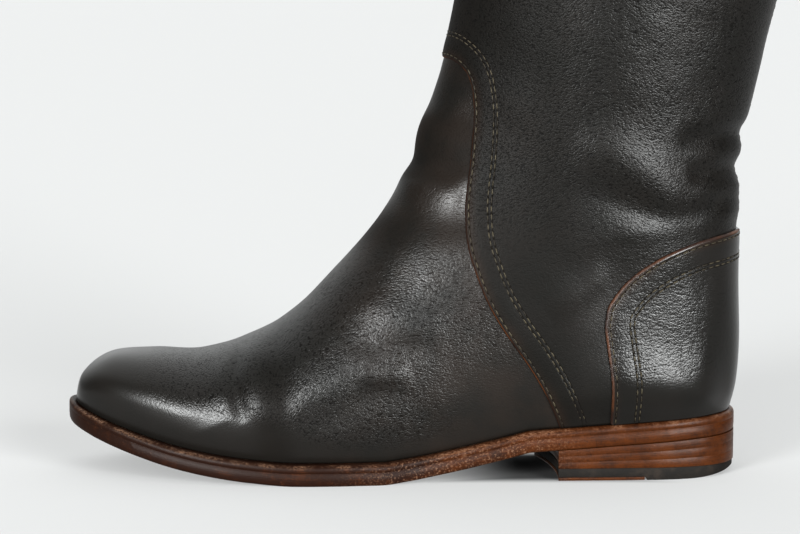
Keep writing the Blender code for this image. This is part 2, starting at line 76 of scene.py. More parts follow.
# Sections of the foot from the toe to the heel's back, and of the leg from there to the collar.
# Each runs from the sole or the back line (low) up to the front line (top); widest is the share
# of the way up where it is widest, and full_* are 1 for an ellipse and less for a fuller form.
Foot = namedtuple(
    "Foot",
    "name low_x top_x top_z centre sole_out sole_in half_out half_in widest full_low full_top",
)
FOOT = [
    Foot("toe tip", -242.2, -242.2, 30.6, 6.0, 0.0, 0.0, 0.0, 0.0, 0.40, 1.0, 0.85),
    Foot("toe edge", -238.5, -238.8, 40.9, 6.0, 13.8, 13.8, 14.8, 14.8, 0.40, 1.0, 0.85),
    Foot("toe round", -226.8, -227.5, 48.8, 5.9, 24.8, 24.8, 26.9, 26.9, 0.40, 1.0, 0.86),
    Foot("toe box", -208.5, -209.5, 50.4, 5.3, 33.8, 33.8, 36.8, 36.6, 0.39, 1.0, 0.88),
    Foot("toe break", -187.0, -189.0, 50.5, 4.2, 40.0, 38.2, 43.4, 41.6, 0.37, 1.0, 0.92),
    Foot("ball", -162.0, -167.5, 57.0, 2.8, 43.2, 38.8, 46.8, 42.8, 0.36, 1.0, 0.96),
    Foot("joint", -135.0, -148.0, 69.0, 1.6, 42.8, 34.0, 47.0, 41.4, 0.37, 1.0, 0.99),
    Foot("waist front", -108.0, -132.0, 85.0, 0.9, 39.0, 27.6, 44.6, 39.2, 0.40, 1.0, 1.0),
    Foot("waist", -80.0, -118.0, 100.8, 0.4, 34.2, 24.6, 41.8, 37.8, 0.44, 1.0, 1.0),
    Foot("breast", -50.0, -108.2, 114.4, 0.0, 30.8, 25.4, 39.6, 37.2, 0.48, 0.96, 1.0),
    Foot("seat", -16.0, -101.8, 126.8, 0.0, 28.9, 27.4, 38.6, 37.2, 0.51, 0.90, 1.0),
    Foot("heel", 11.5, -97.8, 137.6, 0.0, 26.3, 25.8, 38.2, 37.4, 0.53, 0.84, 1.0),
    Foot("heel round", 28.2, -94.6, 146.2, 0.0, 17.0, 16.8, 38.0, 37.6, 0.54, 0.82, 1.0),
    Foot("heel back", 33.8, -91.8, 153.8, 0.0, 0.0, 0.0, 38.0, 37.8, 0.55, 0.80, 1.0),
]
Leg = namedtuple("Leg", "name low_x low_z top_x top_z half widest full_low full_top")
LEG = [
    Leg("heel low", 36.4, 39.4, -89.2, 161.4, 38.2, 0.55, 0.80, 1.0),
    Leg("heel swell", 37.4, 57.4, -86.6, 169.4, 38.8, 0.54, 0.80, 1.0),
    Leg("heel top", 36.8, 83.4, -84.6, 177.8, 39.8, 0.53, 0.84, 1.0),
    Leg("ankle", 37.4, 113.4, -82.2, 188.4, 41.2, 0.52, 0.90, 1.0),
    Leg("ankle top", 39.6, 141.4, -80.2, 200.4, 43.2, 0.52, 0.94, 0.98),
    Leg("shin", 47.6, 177.4, -77.4, 218.4, 46.0, 0.52, 0.96, 0.97),
    Leg("calf low", 57.6, 227.4, -73.4, 251.4, 50.0, 0.52, 0.97, 0.96),
    Leg("calf", 69.6, 331.0, -69.0, 338.0, 55.0, 0.52, 0.97, 0.95),
    Leg("knee", 63.4, 450.0, -70.8, 450.0, 56.0, 0.51, 0.96, 0.95),
    Leg("thigh", 66.4, 530.0, -76.0, 530.0, 61.0, 0.50, 0.96, 0.96),
    Leg("collar", 69.4, 590.0, -80.0, 590.0, 65.0, 0.50, 0.96, 0.97),
]
HEEL_BACK = len(FOOT) - 1
COLLAR = HEEL_BACK + len(LEG)
LAP_EDGE = [
    # (height, x): the leg's front edge in the side view, lapped over the vamp
    (19.2, -36.6),
    (28.0, -39.8),
    (38.0, -44.4),
    (49.0, -51.0),
    (63.0, -60.8),
    (75.0, -67.8),
    (88.0, -73.0),
    (97.0, -75.7),
    (105.0, -76.8),
    (113.0, -77.0),
    (122.0, -76.2),
    (132.0, -74.8),
    (144.0, -73.7),
    (154.0, -73.2),
    (162.0, -73.8),
    (168.0, -75.6),
    (172.0, -79.0),
    (174.0, -82.5),
    (174.7, -86.0),
]
LAP_BETWEEN = (6.0, 20.0)  # section numbers between which the lap crosses every column


def column(rows, name):
    """One value of every section, in order."""
    return np.array([getattr(row, name) for row in rows])


def smooth(values, at, flat_start=False, flat_end=False):
    """Cubic curve through values at 0, 1, 2 and so on: each slope is half the step between the
    neighbours on both sides, and the ends run straight on, or level where they are flat."""
    values = np.asarray(values, float)
    before = values[1] if flat_start else 2 * values[0] - values[1]
    after = values[-2] if flat_end else 2 * values[-1] - values[-2]
    padded = np.concatenate([[before], values, [after]])
    slope = (padded[2:] - padded[:-2]) / 2
    row = np.clip(np.floor(at).astype(int), 0, len(values) - 2)
    t = at - row
    start, end = values[row], values[row + 1]
    return (
        start * (1 + 2 * t) * (1 - t) ** 2
        + slope[row] * t * (1 - t) ** 2
        + end * t**2 * (3 - 2 * t)
        + slope[row + 1] * t**2 * (t - 1)
    )


def through(table, at):
    """Cubic curve through (place, value) rows that never overshoots: each slope is the harmonic
    mean of the rises on both sides, or level where they change sign."""
    place, value = np.array(table, float).T
    step = np.diff(place)
    rise = np.diff(value) / step
    slope = np.concatenate([[rise[0]], np.zeros(len(rise) - 1), [rise[-1]]])
    same_way = rise[:-1] * rise[1:] > 0
    safe = np.where(same_way, rise[:-1] + rise[1:], 1.0)
    slope[1:-1] = np.where(same_way, 2 * rise[:-1] * rise[1:] / safe, 0.0)
    at = np.clip(at, place[0], place[-1])
    row = np.clip(np.searchsorted(place, at, side="right") - 1, 0, len(step) - 1)
    t = (at - place[row]) / step[row]
    return (
        value[row] * (1 + 2 * t) * (1 - t) ** 2
        + slope[row] * step[row] * t * (1 - t) ** 2
        + value[row + 1] * t**2 * (3 - 2 * t)
        + slope[row + 1] * step[row] * t**2 * (t - 1)
    )


def sole_bottom(x):
    """Height of the outsole's underside: the sole line, then a straight slope under the heel."""
    slope = (SEAT_AT_BACK - SEAT_AT_FRONT) / (HEEL_BACK_X - SEAT_FROM_X)
    seat = SEAT_AT_FRONT + slope * (x - SEAT_FROM_X)
    return np.where(x < SEAT_FROM_X, through(SOLE_LINE, x), seat)


def lower_edge(v):
    """The upper's lower edge, then its back line: x, height and half widths at section number v."""
    on_foot = np.minimum(v, HEEL_BACK)
    on_leg = np.maximum(v - HEEL_BACK, 0.0)
    foot_x = smooth(column(FOOT, "low_x"), on_foot, flat_start=True, flat_end=True)
    back_x = [FOOT[-1].low_x, *column(LEG, "low_x")]
    back_z = [float(sole_bottom(FOOT[-1].low_x)) + UPPER_BOTTOM, *column(LEG, "low_z")]
    x = np.where(v < HEEL_BACK, foot_x, smooth(back_x, on_leg))
    z = np.where(v < HEEL_BACK, sole_bottom(foot_x) + UPPER_BOTTOM, smooth(back_z, on_leg))
    out = np.where(v < HEEL_BACK, smooth(column(FOOT, "sole_out"), on_foot), 0.0)
    inner = np.where(v < HEEL_BACK, smooth(column(FOOT, "sole_in"), on_foot), 0.0)
    return x, z, np.maximum(out, 0.0), np.maximum(inner, 0.0)


def along(name, v, leg_name=None):
    """A section value that runs from the foot into the leg without a break."""
    return smooth(np.concatenate([column(FOOT, name), column(LEG, leg_name or name)]), v)


def upper_form(u, v, inner_side):
    """Point of the foot form: u goes from the lower edge (0) to the front line (1), v counts
    sections. In a section's plane the half width is half * cos(a) ** fullness, and the way up is
    widest * (1 + sin(a) / sin(low)) under the widest place and widest + (1 - widest) * sin(a) over it.
    """
    low_x, low_z, sole_out, sole_in = lower_edge(v)
    top_x, top_z = along("top_x", v), along("top_z", v)
    widest = along("widest", v)
    half = np.where(inner_side, along("half_in", v, "half"), along("half_out", v, "half"))
    sole_half = np.where(inner_side, sole_in, sole_out)
    half = np.maximum(half, 1e-6)
    full_low, full_top = along("full_low", v), along("full_top", v)
    low_angle = np.arccos(np.clip(sole_half / half, 0.0, 1.0) ** (1 / full_low))
    low_angle = np.maximum(low_angle, 1e-3)
    angle = -low_angle + (low_angle + math.pi / 2) * u
    rise = np.sin(angle)
    up = np.where(
        angle < 0, widest * (1 + rise / np.sin(low_angle)), widest + (1 - widest) * rise
    )
    fullness = np.where(angle < 0, full_low, full_top)
    across = half * np.maximum(np.cos(angle), 0.0) ** fullness
    centre = np.where(v < HEEL_BACK, smooth(column(FOOT, "centre"), np.minimum(v, HEEL_BACK)), 0.0)
    x = low_x + (top_x - low_x) * up
    y = centre + np.where(inner_side, across, -across)
    z = low_z + (top_z - low_z) * up
    return np.stack([x, y, z], axis=-1)


def find_lap(u, inner_side):
    """Section number where each column u crosses the lap's edge, found by halving."""
    low, high = np.full_like(u, LAP_BETWEEN[0]), np.full_like(u, LAP_BETWEEN[1])
    for _ in range(40):
        middle = (low + high) / 2
        point = upper_form(u, middle, inner_side)
        behind = point[..., 0] > through(LAP_EDGE, point[..., 2])
        high = np.where(behind, middle, high)
        low = np.where(behind, low, middle)
    return (low + high) / 2


def run_length(points, axis=0):
    """Length run along one direction of a grid, from its first point."""
    step = np.linalg.norm(np.diff(points, axis=axis), axis=-1)
    start = np.zeros_like(np.take(step, [0], axis=axis))
    return np.concatenate([start, np.cumsum(step, axis=axis)], axis=axis)


def round_columns(side_count):
    """Columns once round the upper: outer lower edge, front line, inner lower edge. They share out the
    way round and the length of the lap's edge evenly, as that edge runs along some of them."""
    fine = np.linspace(0.0, 1.0, 1000)
    edge = run_length(upper_form(fine, find_lap(fine, False), False))
    share = (fine + edge / edge[-1]) / 2
    side = np.interp(np.linspace(0.0, 1.0, side_count + 1), share, fine)
    u = np.concatenate([side, side[-2::-1]])
    return u, np.arange(len(u)) > side_count


def even_places(points, count, weight=1.0):
    """Places from 0 to 1 along a finely sampled line that share out its weighted length evenly."""
    step = np.linalg.norm(np.diff(points, axis=0), axis=-1) * weight
    run = np.concatenate([[0.0], np.cumsum(step)])
    return np.interp(np.linspace(0.0, run[-1], count), run, np.linspace(0.0, 1.0, len(points)))


def ease(value, low, high):
    """0 below low, 1 above high, 3t^2 - 2t^3 between."""
    t = np.clip((value - low) / (high - low), 0.0, 1.0)
    return t * t * (3 - 2 * t)


def bell(value, middle, width):
    """1 at the middle, exp(-((value - middle) / width)^2) on both sides."""
    return np.exp(-(((value - middle) / width) ** 2))


def form_normals(u, v, inner_side):
    """Unit normals of the foot form: the cross product of small steps in v and u, turned outwards on
    both sides, and levelled where the leather stands on the welt."""
    small = 1e-3
    low_u, high_u = np.maximum(u - small, 0.0), np.minimum(u + small, 1.0)
    low_v, high_v = np.maximum(v - small, 0.0), np.minimum(v + small, COLLAR)
    step_u = upper_form(high_u, v, inner_side) - upper_form(low_u, v, inner_side)
    step_v = upper_form(u, high_v, inner_side) - upper_form(u, low_v, inner_side)
    normal = np.cross(step_v, step_u) * np.where(inner_side, -1.0, 1.0)[..., None]
    normal[..., 2] *= np.where(v < HEEL_BACK, ease(u, 0.0, 0.05), 1.0)
    return normal / np.maximum(np.linalg.norm(normal, axis=-1, keepdims=True), 1e-12)


def lattice_noise(points, size, seed):
    """Smooth noise from -1 to 1: a random number at each corner of a lattice with cells of the given
    size, blended inside a cell with the weights 3t^2 - 2t^3 along each axis."""
    place = points / size
    base = np.floor(place).astype(np.int64)
    t = place - base
    t = t * t * (3 - 2 * t)
    total = np.zeros(points.shape[:-1])
    for corner in itertools.product((0, 1), repeat=3):
        n = base + np.array(corner)
        mixed = n[..., 0] * 73856093 ^ n[..., 1] * 19349663 ^ n[..., 2] * 83492791 ^ seed * 2654435761
        mixed = (mixed ^ (mixed >> 13)) * 1274126177 & 0xFFFFFFFF
        mixed = (mixed ^ (mixed >> 15)) & 0xFFFF
        weight = np.prod(np.where(np.array(corner) == 1, t, 1 - t), axis=-1)
        total += weight * (mixed / 32767.5 - 1)
    return total


# A crease is a line in the side view with a width, a height (below 0 for a trough) and its
# strength on the outer and the inner side of the boot.
Crease = namedtuple("Crease", "name width height outer inner path")


def crease_relief(points, creases):
    """Height added by creases: height * (1 - (2 s - 1)^4)^2 * exp(-(d / width)^2), d being the distance
    to its line and s the share of the way along it, so that it runs out at both ends."""
    total = np.zeros(points.shape[:-1])
    to_inner = ease(points[..., 1], -12.0, 12.0)
    for crease in creases:
        knots = np.array(crease.path, float)
        at = np.linspace(0.0, len(knots) - 1.0, 10 * len(knots))
        line = np.stack([smooth(knots[:, 0], at), smooth(knots[:, 1], at)], axis=-1)
        near = np.full(points.shape[:-1], np.inf)
        way_along = np.zeros(points.shape[:-1])
        for part, (start, end) in enumerate(zip(line[:-1], line[1:])):
            way = end - start
            offset = points[..., [0, 2]] - start
            share = np.clip(offset @ way / (way @ way), 0.0, 1.0)
            gap = offset - share[..., None] * way
            square = np.einsum("...i,...i", gap, gap)
            way_along = np.where(square < near, (part + share) / (len(line) - 1), way_along)
            near = np.minimum(near, square)
        side = crease.outer + (crease.inner - crease.outer) * to_inner
        fade = (1 - (2 * way_along - 1) ** 4) ** 2
        total += side * crease.height * fade * np.exp(-near / crease.width**2)
    return total


def make_piece(name, points, faces, material, uv=None, marks=None, sharp=None):
    """Mesh object from points in millimetres and arrays of faces. uv holds a pair per face corner,
    marks a value per point for each named attribute."""
    mesh = bpy.data.meshes.new(name)
    rows = [row for block in faces for row in block.tolist()]
    mesh.from_pydata((np.asarray(points) * MM).tolist(), [], rows)
    mesh.shade_smooth()
    if sharp is not None:
        mesh.set_sharp_from_angle(angle=math.radians(sharp))
    if uv is not None:
        layer = mesh.uv_layers.new(name="grain")
        layer.data.foreach_set("uv", np.concatenate([block.ravel() for block in uv]))
    for label, values in (marks or {}).items():
        attribute = mesh.attributes.new(label, "FLOAT", "POINT")
        attribute.data.foreach_set("value", np.asarray(values, float).ravel())
    mesh.materials.append(material)
    piece = bpy.data.objects.new(name, mesh)
    bpy.context.scene.collection.objects.link(piece)
    return piece


def grid_quads(index):
    """Corners of each cell of a grid of point numbers, facing out."""
    cells = [index[:-1, :-1], index[1:, :-1], index[1:, 1:], index[:-1, 1:]]
    return np.stack(cells, axis=-1).reshape(-1, 4)


def edge_strip(fine, coarse, step):
    """Triangles between a fine edge and a coarse one that has every step-th point: a fan from each
    coarse point over its fine steps, then one triangle on to the next coarse point."""
    number = np.arange(len(fine) - 1)
    fans = np.stack([fine[number + 1], fine[number], coarse[number // step]], axis=-1)
    part = np.arange(len(coarse) - 1)
    links = np.stack([fine[(part + 1) * step], coarse[part], coarse[part + 1]], axis=-1)
    return np.concatenate([fans, links])


def leather_shell(name, outer, normals, thickness, step, pole, closed_from, marks, material):
    """Closed sheet of leather: the outer grid, a grid of every step-th point one thickness under it,
    and strips round the open edges. pole joins the first ring to one point, and rings from
    closed_from on are closed at the back."""
    under = (outer - thickness * normals)[::step, ::step]
    count = outer.shape[0] * outer.shape[1]
    fine = np.arange(count).reshape(outer.shape[:2])
    coarse = count + np.arange(under.shape[0] * under.shape[1]).reshape(under.shape[:2])
    joined = np.arange(count + coarse.size)
    for sheet, closed in ((fine, closed_from), (coarse, -(-closed_from // step))):
        if pole:
            joined[sheet[0]] = sheet[0, 0]
        joined[sheet[closed:, -1]] = sheet[closed:, 0]
    quads = np.concatenate([grid_quads(fine), grid_quads(coarse)[:, ::-1]])
    last = closed_from + 1
    coarse_last = closed_from // step + 1
    strips = [
        edge_strip(fine[:last, 0], coarse[:coarse_last, 0], step),
        edge_strip(fine[:last, -1], coarse[:coarse_last, -1], step)[:, ::-1],
        edge_strip(fine[-1], coarse[-1], step),
    ]
    if not pole:
        strips.append(edge_strip(fine[0], coarse[0], step)[:, ::-1])
    triangles = np.concatenate(strips)
    at_pole = joined[quads[:, 0]] == joined[quads[:, 3]]
    under_pole = joined[quads[:, 0]] == joined[quads[:, 1]]
    triangles = np.concatenate([triangles, quads[at_pole][:, :3], quads[under_pole & ~at_pole][:, 1:]])
    corners = joined[triangles]
    whole = (corners[:, 0] != corners[:, 1]) & (corners[:, 1] != corners[:, 2])
    whole &= corners[:, 0] != corners[:, 2]
    quads = quads[~(at_pole | under_pole)]
    triangles = triangles[whole]
    used, number = np.unique(joined, return_inverse=True)
    points = np.concatenate([outer.reshape(-1, 3), under.reshape(-1, 3)])
    values = {
        label: np.concatenate([value.ravel(), value[::step, ::step].ravel()])[used]
        for label, value in marks.items()
    }
    return make_piece(
        name,
        points[used],
        [number[quads], number[triangles]],
        material,
        marks=values,
    )


def new_material(name):
    """An empty material with its output and shader; returns the material, its tree and the shader."""
    material = bpy.data.materials.new(name)
    material.use_nodes = True
    tree = material.node_tree
    return material, tree, tree.nodes["Principled BSDF"]


def add(tree, kind, sockets=None, **settings):
    """A shader node; each socket gets a link or a constant."""
    node = tree.nodes.new("ShaderNode" + kind)
    for key, value in settings.items():
        setattr(node, key, value)
    for key, value in (sockets or {}).items():
        if isinstance(value, bpy.types.NodeSocket):
            tree.links.new(value, node.inputs[key])
        else:
            node.inputs[key].default_value = value
    return node


def math_node(tree, operation, a, b=0.0):
    """Output of one sum, product or the like."""
    return add(tree, "Math", {0: a, 1: b}, operation=operation).outputs[0]


def span(tree, value, low, high, to_low=0.0, to_high=1.0):
    """Output that eases from to_low to to_high while value goes from low to high."""
    sockets = {"Value": value, 1: low, 2: high, 3: to_low, 4: to_high}
    return add(tree, "MapRange", sockets, interpolation_type="SMOOTHSTEP").outputs[0]


def product(tree, *values):
    """Output of values multiplied together."""
    result = values[0]
    for value in values[1:]:
        result = math_node(tree, "MULTIPLY", result, value)
    return result


def weighted_sum(tree, *terms):
    """Sum of outputs, each times its weight."""
    total = 0.0
    for value, weight in terms:
        total = add(tree, "Math", {0: value, 1: weight, 2: total}, operation="MULTIPLY_ADD").outputs[0]
    return total


def mark(tree, label):
    """Output of a value that the mesh carries at each point."""
    return add(tree, "Attribute", attribute_name=label).outputs["Fac"]


def noise(tree, place, scale, detail=2.0, roughness=0.5):
    """Output of cloudy noise with the given number of clouds to the metre."""
    sockets = {"Vector": place, "Scale": scale, "Detail": detail, "Roughness": roughness}
    return add(tree, "TexNoise", sockets).outputs["Fac"]


def bumped(tree, height, strength, distance, under=None):
    """Normal tilted by a height that counts for distance in metres, on top of another normal."""
    node = add(tree, "Bump", {"Height": height, "Strength": strength, "Distance": distance})
    if under is not None:
        tree.links.new(under, node.inputs["Normal"])
    return node.outputs[0]


def blend(tree, share, first, second):
    """Colour between two colours or outputs."""
    node = add(tree, "Mix", data_type="RGBA")
    for socket, value in ((node.inputs[0], share), (node.inputs[6], first), (node.inputs[7], second)):
        if isinstance(value, bpy.types.NodeSocket):
            tree.links.new(value, socket)
        else:
            socket.default_value = (*value, 1.0) if isinstance(value, tuple) else value
    return node.outputs[2]


def dress(tree, shader, colour, normal, roughness, shine=0.5):
    """Gives the shader its colour, normal and roughness, which may be a number, and its shine."""
    tree.links.new(colour, shader.inputs["Base Color"])
    tree.links.new(normal, shader.inputs["Normal"])
    if isinstance(roughness, bpy.types.NodeSocket):
        tree.links.new(roughness, shader.inputs["Roughness"])
    else:
        shader.inputs["Roughness"].default_value = roughness
    shader.inputs["Specular IOR Level"].default_value = shine


LEATHER_DARK = (0.0034, 0.0031, 0.0026)
LEATHER_BROWN = (0.0044, 0.0037, 0.0031)
LEATHER_HOLLOW_SHADE = (0.0010, 0.0008, 0.0006)  # painted shade between the pebbles of the grain
LEATHER_RUB = (0.0400, 0.0180, 0.0080)
RAW_BROWN = (0.0330, 0.0118, 0.0042)
RAW_DARK = (0.0100, 0.0043, 0.0026)
PEBBLE = (0.816, 0.68)  # length and width of the grain's pebbles
PEBBLE_DEEP = 0.00004  # depths of pebbles, wrinkles, pores and stitched grooves, in metres
WRINKLE_DEEP = 0.00005
PORE_DEEP = 0.00005
GROOVE_DEEP = 0.00025
GRAIN_BEND = 0.0024  # metres by which noise bends the grain
GRAIN_SWAY = 0.05  # metres over which the borders between grain directions wander
GRAIN_BLEND = 0.008
ROW_GROOVE = 0.55  # half width of the groove that a row of stitches pulls into the leather


def dome(tree, place, cell, turn=0.0):
    """Rounded cells: 1 - 2 d^2, d being the distance to the nearest of points scattered through the
    leather, counted in cells of the given length and width in millimetres. A turn tips their length
    up from level, in the side view."""
    turned = add(tree, "Mapping", {"Vector": place, "Rotation": (0.0, turn, 0.0)})
    size = (1 / (cell[0] * MM), 1 / (cell[1] * MM), 1 / (cell[1] * MM))
    scaled = add(tree, "Mapping", {"Vector": turned.outputs[0], "Scale": size})
    cells = add(tree, "TexVoronoi", {"Vector": scaled.outputs[0], "Scale": 1.0})
    square = math_node(tree, "POWER", cells.outputs["Distance"], 2.0)
    return math_node(tree, "SUBTRACT", 1.0, product(tree, square, 2.0))


def dark_leather(name, wrinkle, turns, gloss, shine, wax=0.0, rows=(), raw_width=0.0):
    """Waxed grain leather: rounded pebbles, longer wrinkles of the given cell, and pores. Each turn has
    the x behind which the wrinkles lie that way. The mark flex says how wrinkled a place is, dull how
    little it shines and where its coat of wax is gone, rub where the brown shows through, and seam how
    far it is from a cut edge, which stays raw and brown; each row of stitches draws a groove along it.
    Painted shade darkens the hollows of wrinkled places, and the wax there is thin."""
    material, tree, shader = new_material(name)
    place = add(tree, "TexCoord").outputs["Object"]
    flex, dull, rub = mark(tree, "flex"), mark(tree, "dull"), mark(tree, "rub")
    bend = add(tree, "TexNoise", {"Vector": place, "Scale": 260.0, "Detail": 2.0}).outputs["Color"]
    bending = {0: bend, 1: (GRAIN_BEND,) * 3, 2: place}
    bent = add(tree, "VectorMath", bending, operation="MULTIPLY_ADD").outputs[0]
    pebble = dome(tree, bent, PEBBLE)
    patch = noise(tree, place, 55.0)
    backward = add(tree, "SeparateXYZ", {0: place}).outputs["X"]
    backward = weighted_sum(tree, (backward, 1.0), (patch, GRAIN_SWAY))
    wrinkles = dome(tree, bent, wrinkle, turns[0][0])
    for turn, from_x in turns[1:]:
        middle = from_x * MM + 0.5 * GRAIN_SWAY
        share = span(tree, backward, middle - GRAIN_BLEND, middle + GRAIN_BLEND)
        layer = {0: share, 2: wrinkles, 3: dome(tree, bent, wrinkle, turn)}
        wrinkles = add(tree, "Mix", layer, data_type="FLOAT").outputs[0]
    low = span(tree, math_node(tree, "ADD", pebble, wrinkles), -0.3, 1.1, 1.0, 0.0)
    hollow = product(tree, flex, flex, low)
    tone = noise(tree, place, 26.0, 4.0, 0.6)
    colour = blend(tree, span(tree, tone, 0.38, 0.68), LEATHER_DARK, LEATHER_BROWN)
    # painted shade: the colour darkens in the grain's hollows, the more so where the leather is wrinkled
    colour = blend(tree, hollow, colour, LEATHER_HOLLOW_SHADE)
    colour = blend(tree, product(tree, rub, span(tree, tone, 0.30, 0.60)), colour, LEATHER_RUB)
    polish = span(tree, tone, 0.30, 0.70, gloss, gloss + 0.06)
    rough = weighted_sum(tree, (polish, 1.0), (flex, 0.10), (dull, 0.26))
    normal = bumped(tree, noise(tree, place, 2600.0), 0.3, PORE_DEEP)
    grain = product(tree, pebble, span(tree, flex, 0.0, 1.0, 0.10, 1.0))
    normal = bumped(tree, grain, 1.0, PEBBLE_DEEP, normal)
    normal = bumped(tree, product(tree, wrinkles, flex), 1.0, WRINKLE_DEEP, normal)
    if rows:
        seam = mark(tree, "seam")
        beside = [math_node(tree, "ABSOLUTE", math_node(tree, "SUBTRACT", seam, row)) for row in rows]
        grooves = product(tree, *[span(tree, gap, 0.0, ROW_GROOVE) for gap in beside])
        normal = bumped(tree, grooves, 1.0, GROOVE_DEEP, normal)
        raw = blend(tree, span(tree, patch, 0.38, 0.58), RAW_BROWN, RAW_DARK)
        cut = span(tree, seam, 0.75 * raw_width, raw_width, 1.0, 0.0)
        colour = blend(tree, cut, colour, raw)
        rough = weighted_sum(tree, (rough, 1.0), (cut, 0.2))
    dress(tree, shader, colour, normal, rough, shine)
    if wax:
        tops = math_node(tree, "SUBTRACT", 1.15, product(tree, hollow, 0.8))
        coat = product(tree, span(tree, dull, 0.0, 1.0, wax, 0.0), tops)
        tree.links.new(coat, shader.inputs["Coat Weight"])
        tree.links.new(normal, shader.inputs["Coat Normal"])
        shader.inputs["Coat Roughness"].default_value = gloss + 0.07
    return material


VAMP_CREASES = [
    Crease("toe break", 9.0, -0.6, 1.0, 0.9, [(-196, 60), (-191, 47), (-184, 32), (-180, 24)]),
    Crease("fold over the ball", 3.0, -1.2, 1.0, 0.8, [(-171, 54), (-172, 46), (-171, 36), (-167, 25)]),
    Crease("roll in front of the fold", 4.5, 0.4, 1.0, 0.8, [(-177, 52), (-178, 42), (-176, 31)]),
    Crease(
        "roll behind the fold", 5.0, 1.1, 1.0, 0.8,
        [(-173, 70), (-169, 58), (-164, 46), (-161, 34), (-154, 22)],
    ),
    Crease(
        "hollow over the ball", 5.0, -1.4, 1.0, 0.7,
        [(-160, 78), (-157, 64), (-154, 52), (-152, 40), (-150, 26)],
    ),
    Crease("instep roll", 7.0, 0.8, 1.0, 0.6, [(-154, 30), (-139, 39), (-122, 49), (-104, 60)]),
    Crease("low trough", 6.0, -0.6, 1.0, 0.6, [(-140, 22), (-122, 34), (-104, 44)]),
    Crease("waist roll", 7.0, 0.7, 1.0, 0.6, [(-128, 78), (-112, 72), (-98, 68), (-82, 64)]),
    Crease("waist trough", 5.0, -0.6, 1.0, 0.5, [(-126, 58), (-112, 57), (-100, 57), (-86, 57)]),
    Crease("small roll", 4.5, 0.8, 1.0, 0.4, [(-122, 45), (-110, 45), (-98, 47)]),
    Crease("ankle roll", 7.0, 1.1, 1.0, 0.7, [(-106, 125), (-96, 123), (-87, 120), (-77, 117)]),
    Crease("shin dip", 6.0, -1.3, 1.0, 1.0, [(-114, 134), (-100, 132), (-88, 129), (-76, 126)]),
    Crease("shin bump", 8.0, 1.1, 1.0, 1.0, [(-106, 149), (-94, 146), (-84, 142), (-72, 136)]),
]
VAMP_RINGS = 271
VAMP_SIDE_COLUMNS = 160
LAP_BLEND = 6  # rings follow the sections, and turn to the lap's edge with this power of their share
LAP_UNDER = 0.35  # sections that the vamp runs on under the leg
SHEET_STEP = 5  # the hidden side of a sheet has one point for this many on the outside
FLEX_FROM_X = (-228.0, -190.0)  # the toe is smooth, the ball fully wrinkled


def vamp_relief(form, u, v, lap_v):
    """Height of the vamp's creases and small unevenness: none at the welt and where it runs under
    the leg, and little on the toe. The creases of the ball die out towards the top."""
    held = ease(u, 0.0, 0.16) * (1 - ease(v - lap_v, -0.32, -0.02))
    loose = ease(form[..., 0], *FLEX_FROM_X)
    uneven = 0.16 * lattice_noise(form, 17.0, 3) + 0.05 * lattice_noise(form, 7.0, 4)
    over_top = 0.8 * ease(u, 0.62, 0.97) * (1 - ease(form[..., 0], -150.0, -125.0))
    return held * ((1 - over_top) * crease_relief(form, VAMP_CREASES) + loose * uneven)


vamp_columns, vamp_inner = round_columns(VAMP_SIDE_COLUMNS)
vamp_lap = find_lap(vamp_columns, vamp_inner)
fine_places = np.linspace(0.0, 1.0, 600)
middle_line = upper_form(0.5, vamp_lap[0] * fine_places, False)
rings = even_places(middle_line, VAMP_RINGS)[:, None]
vamp_v = (vamp_lap[0] + LAP_UNDER) * rings + (vamp_lap - vamp_lap[0]) * rings**LAP_BLEND
vamp_u = vamp_columns + 0 * vamp_v
vamp_form = upper_form(vamp_u, vamp_v, vamp_inner)
vamp_form[0] = vamp_form[0].mean(axis=0)
vamp_normals = form_normals(vamp_u, vamp_v, vamp_inner)
vamp_normals[0] = (-1.0, 0.0, 0.0)
vamp_x, vamp_z = vamp_form[..., 0], vamp_form[..., 2]
soft = ease(vamp_x, *FLEX_FROM_X)
over_welt = vamp_z - sole_bottom(vamp_x) - UPPER_BOTTOM
smooth_edge = 14.0 - 10.0 * ease(vamp_x, -160.0, -130.0)
stiff_waist = ease(vamp_x, -100.0, -70.0) * (1 - ease(vamp_z, 36.0, 66.0))
vamp_flex = soft * ease(over_welt - smooth_edge, -4.0, 8.0) * (1 - 0.85 * stiff_waist)
vamp_flex *= 1 - 0.45 * ease(vamp_z, 78.0, 112.0)
behind_fold = 0.8 * bell(vamp_x, -155.0, 10.0) * (1 - ease(vamp_z, 44.0, 60.0))
under_dip = ease(vamp_z, 119.0, 128.0) * (1 - 0.6 * ease(vamp_z, 146.0, 156.0))
under_roll = 0.85 * bell(vamp_z, 104.0, 11.0)
vamp_height = vamp_relief(vamp_form, vamp_u, vamp_v, vamp_lap)
vamp = leather_shell(
    "vamp",
    vamp_form + vamp_height[..., None] * vamp_normals,
    vamp_normals,
    LEATHER,
    SHEET_STEP,
    pole=True,
    closed_from=VAMP_RINGS,
    marks={
        "flex": 0.08 + 0.92 * vamp_flex,
        "dull": np.clip(behind_fold + under_dip + under_roll, 0.0, 1.0),
        "rub": 0.05 * soft * ease(vamp_x, -150.0, -100.0),
    },
    material=dark_leather(
        "vamp_leather",
        (1.7, 0.66),
        [(-1.0, None), (1.05, -174.0), (0.05, -118.0)],
        gloss=0.26,
        shine=0.05,
        wax=0.29,
    ),
)
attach(vamp, "root")
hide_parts("upper")

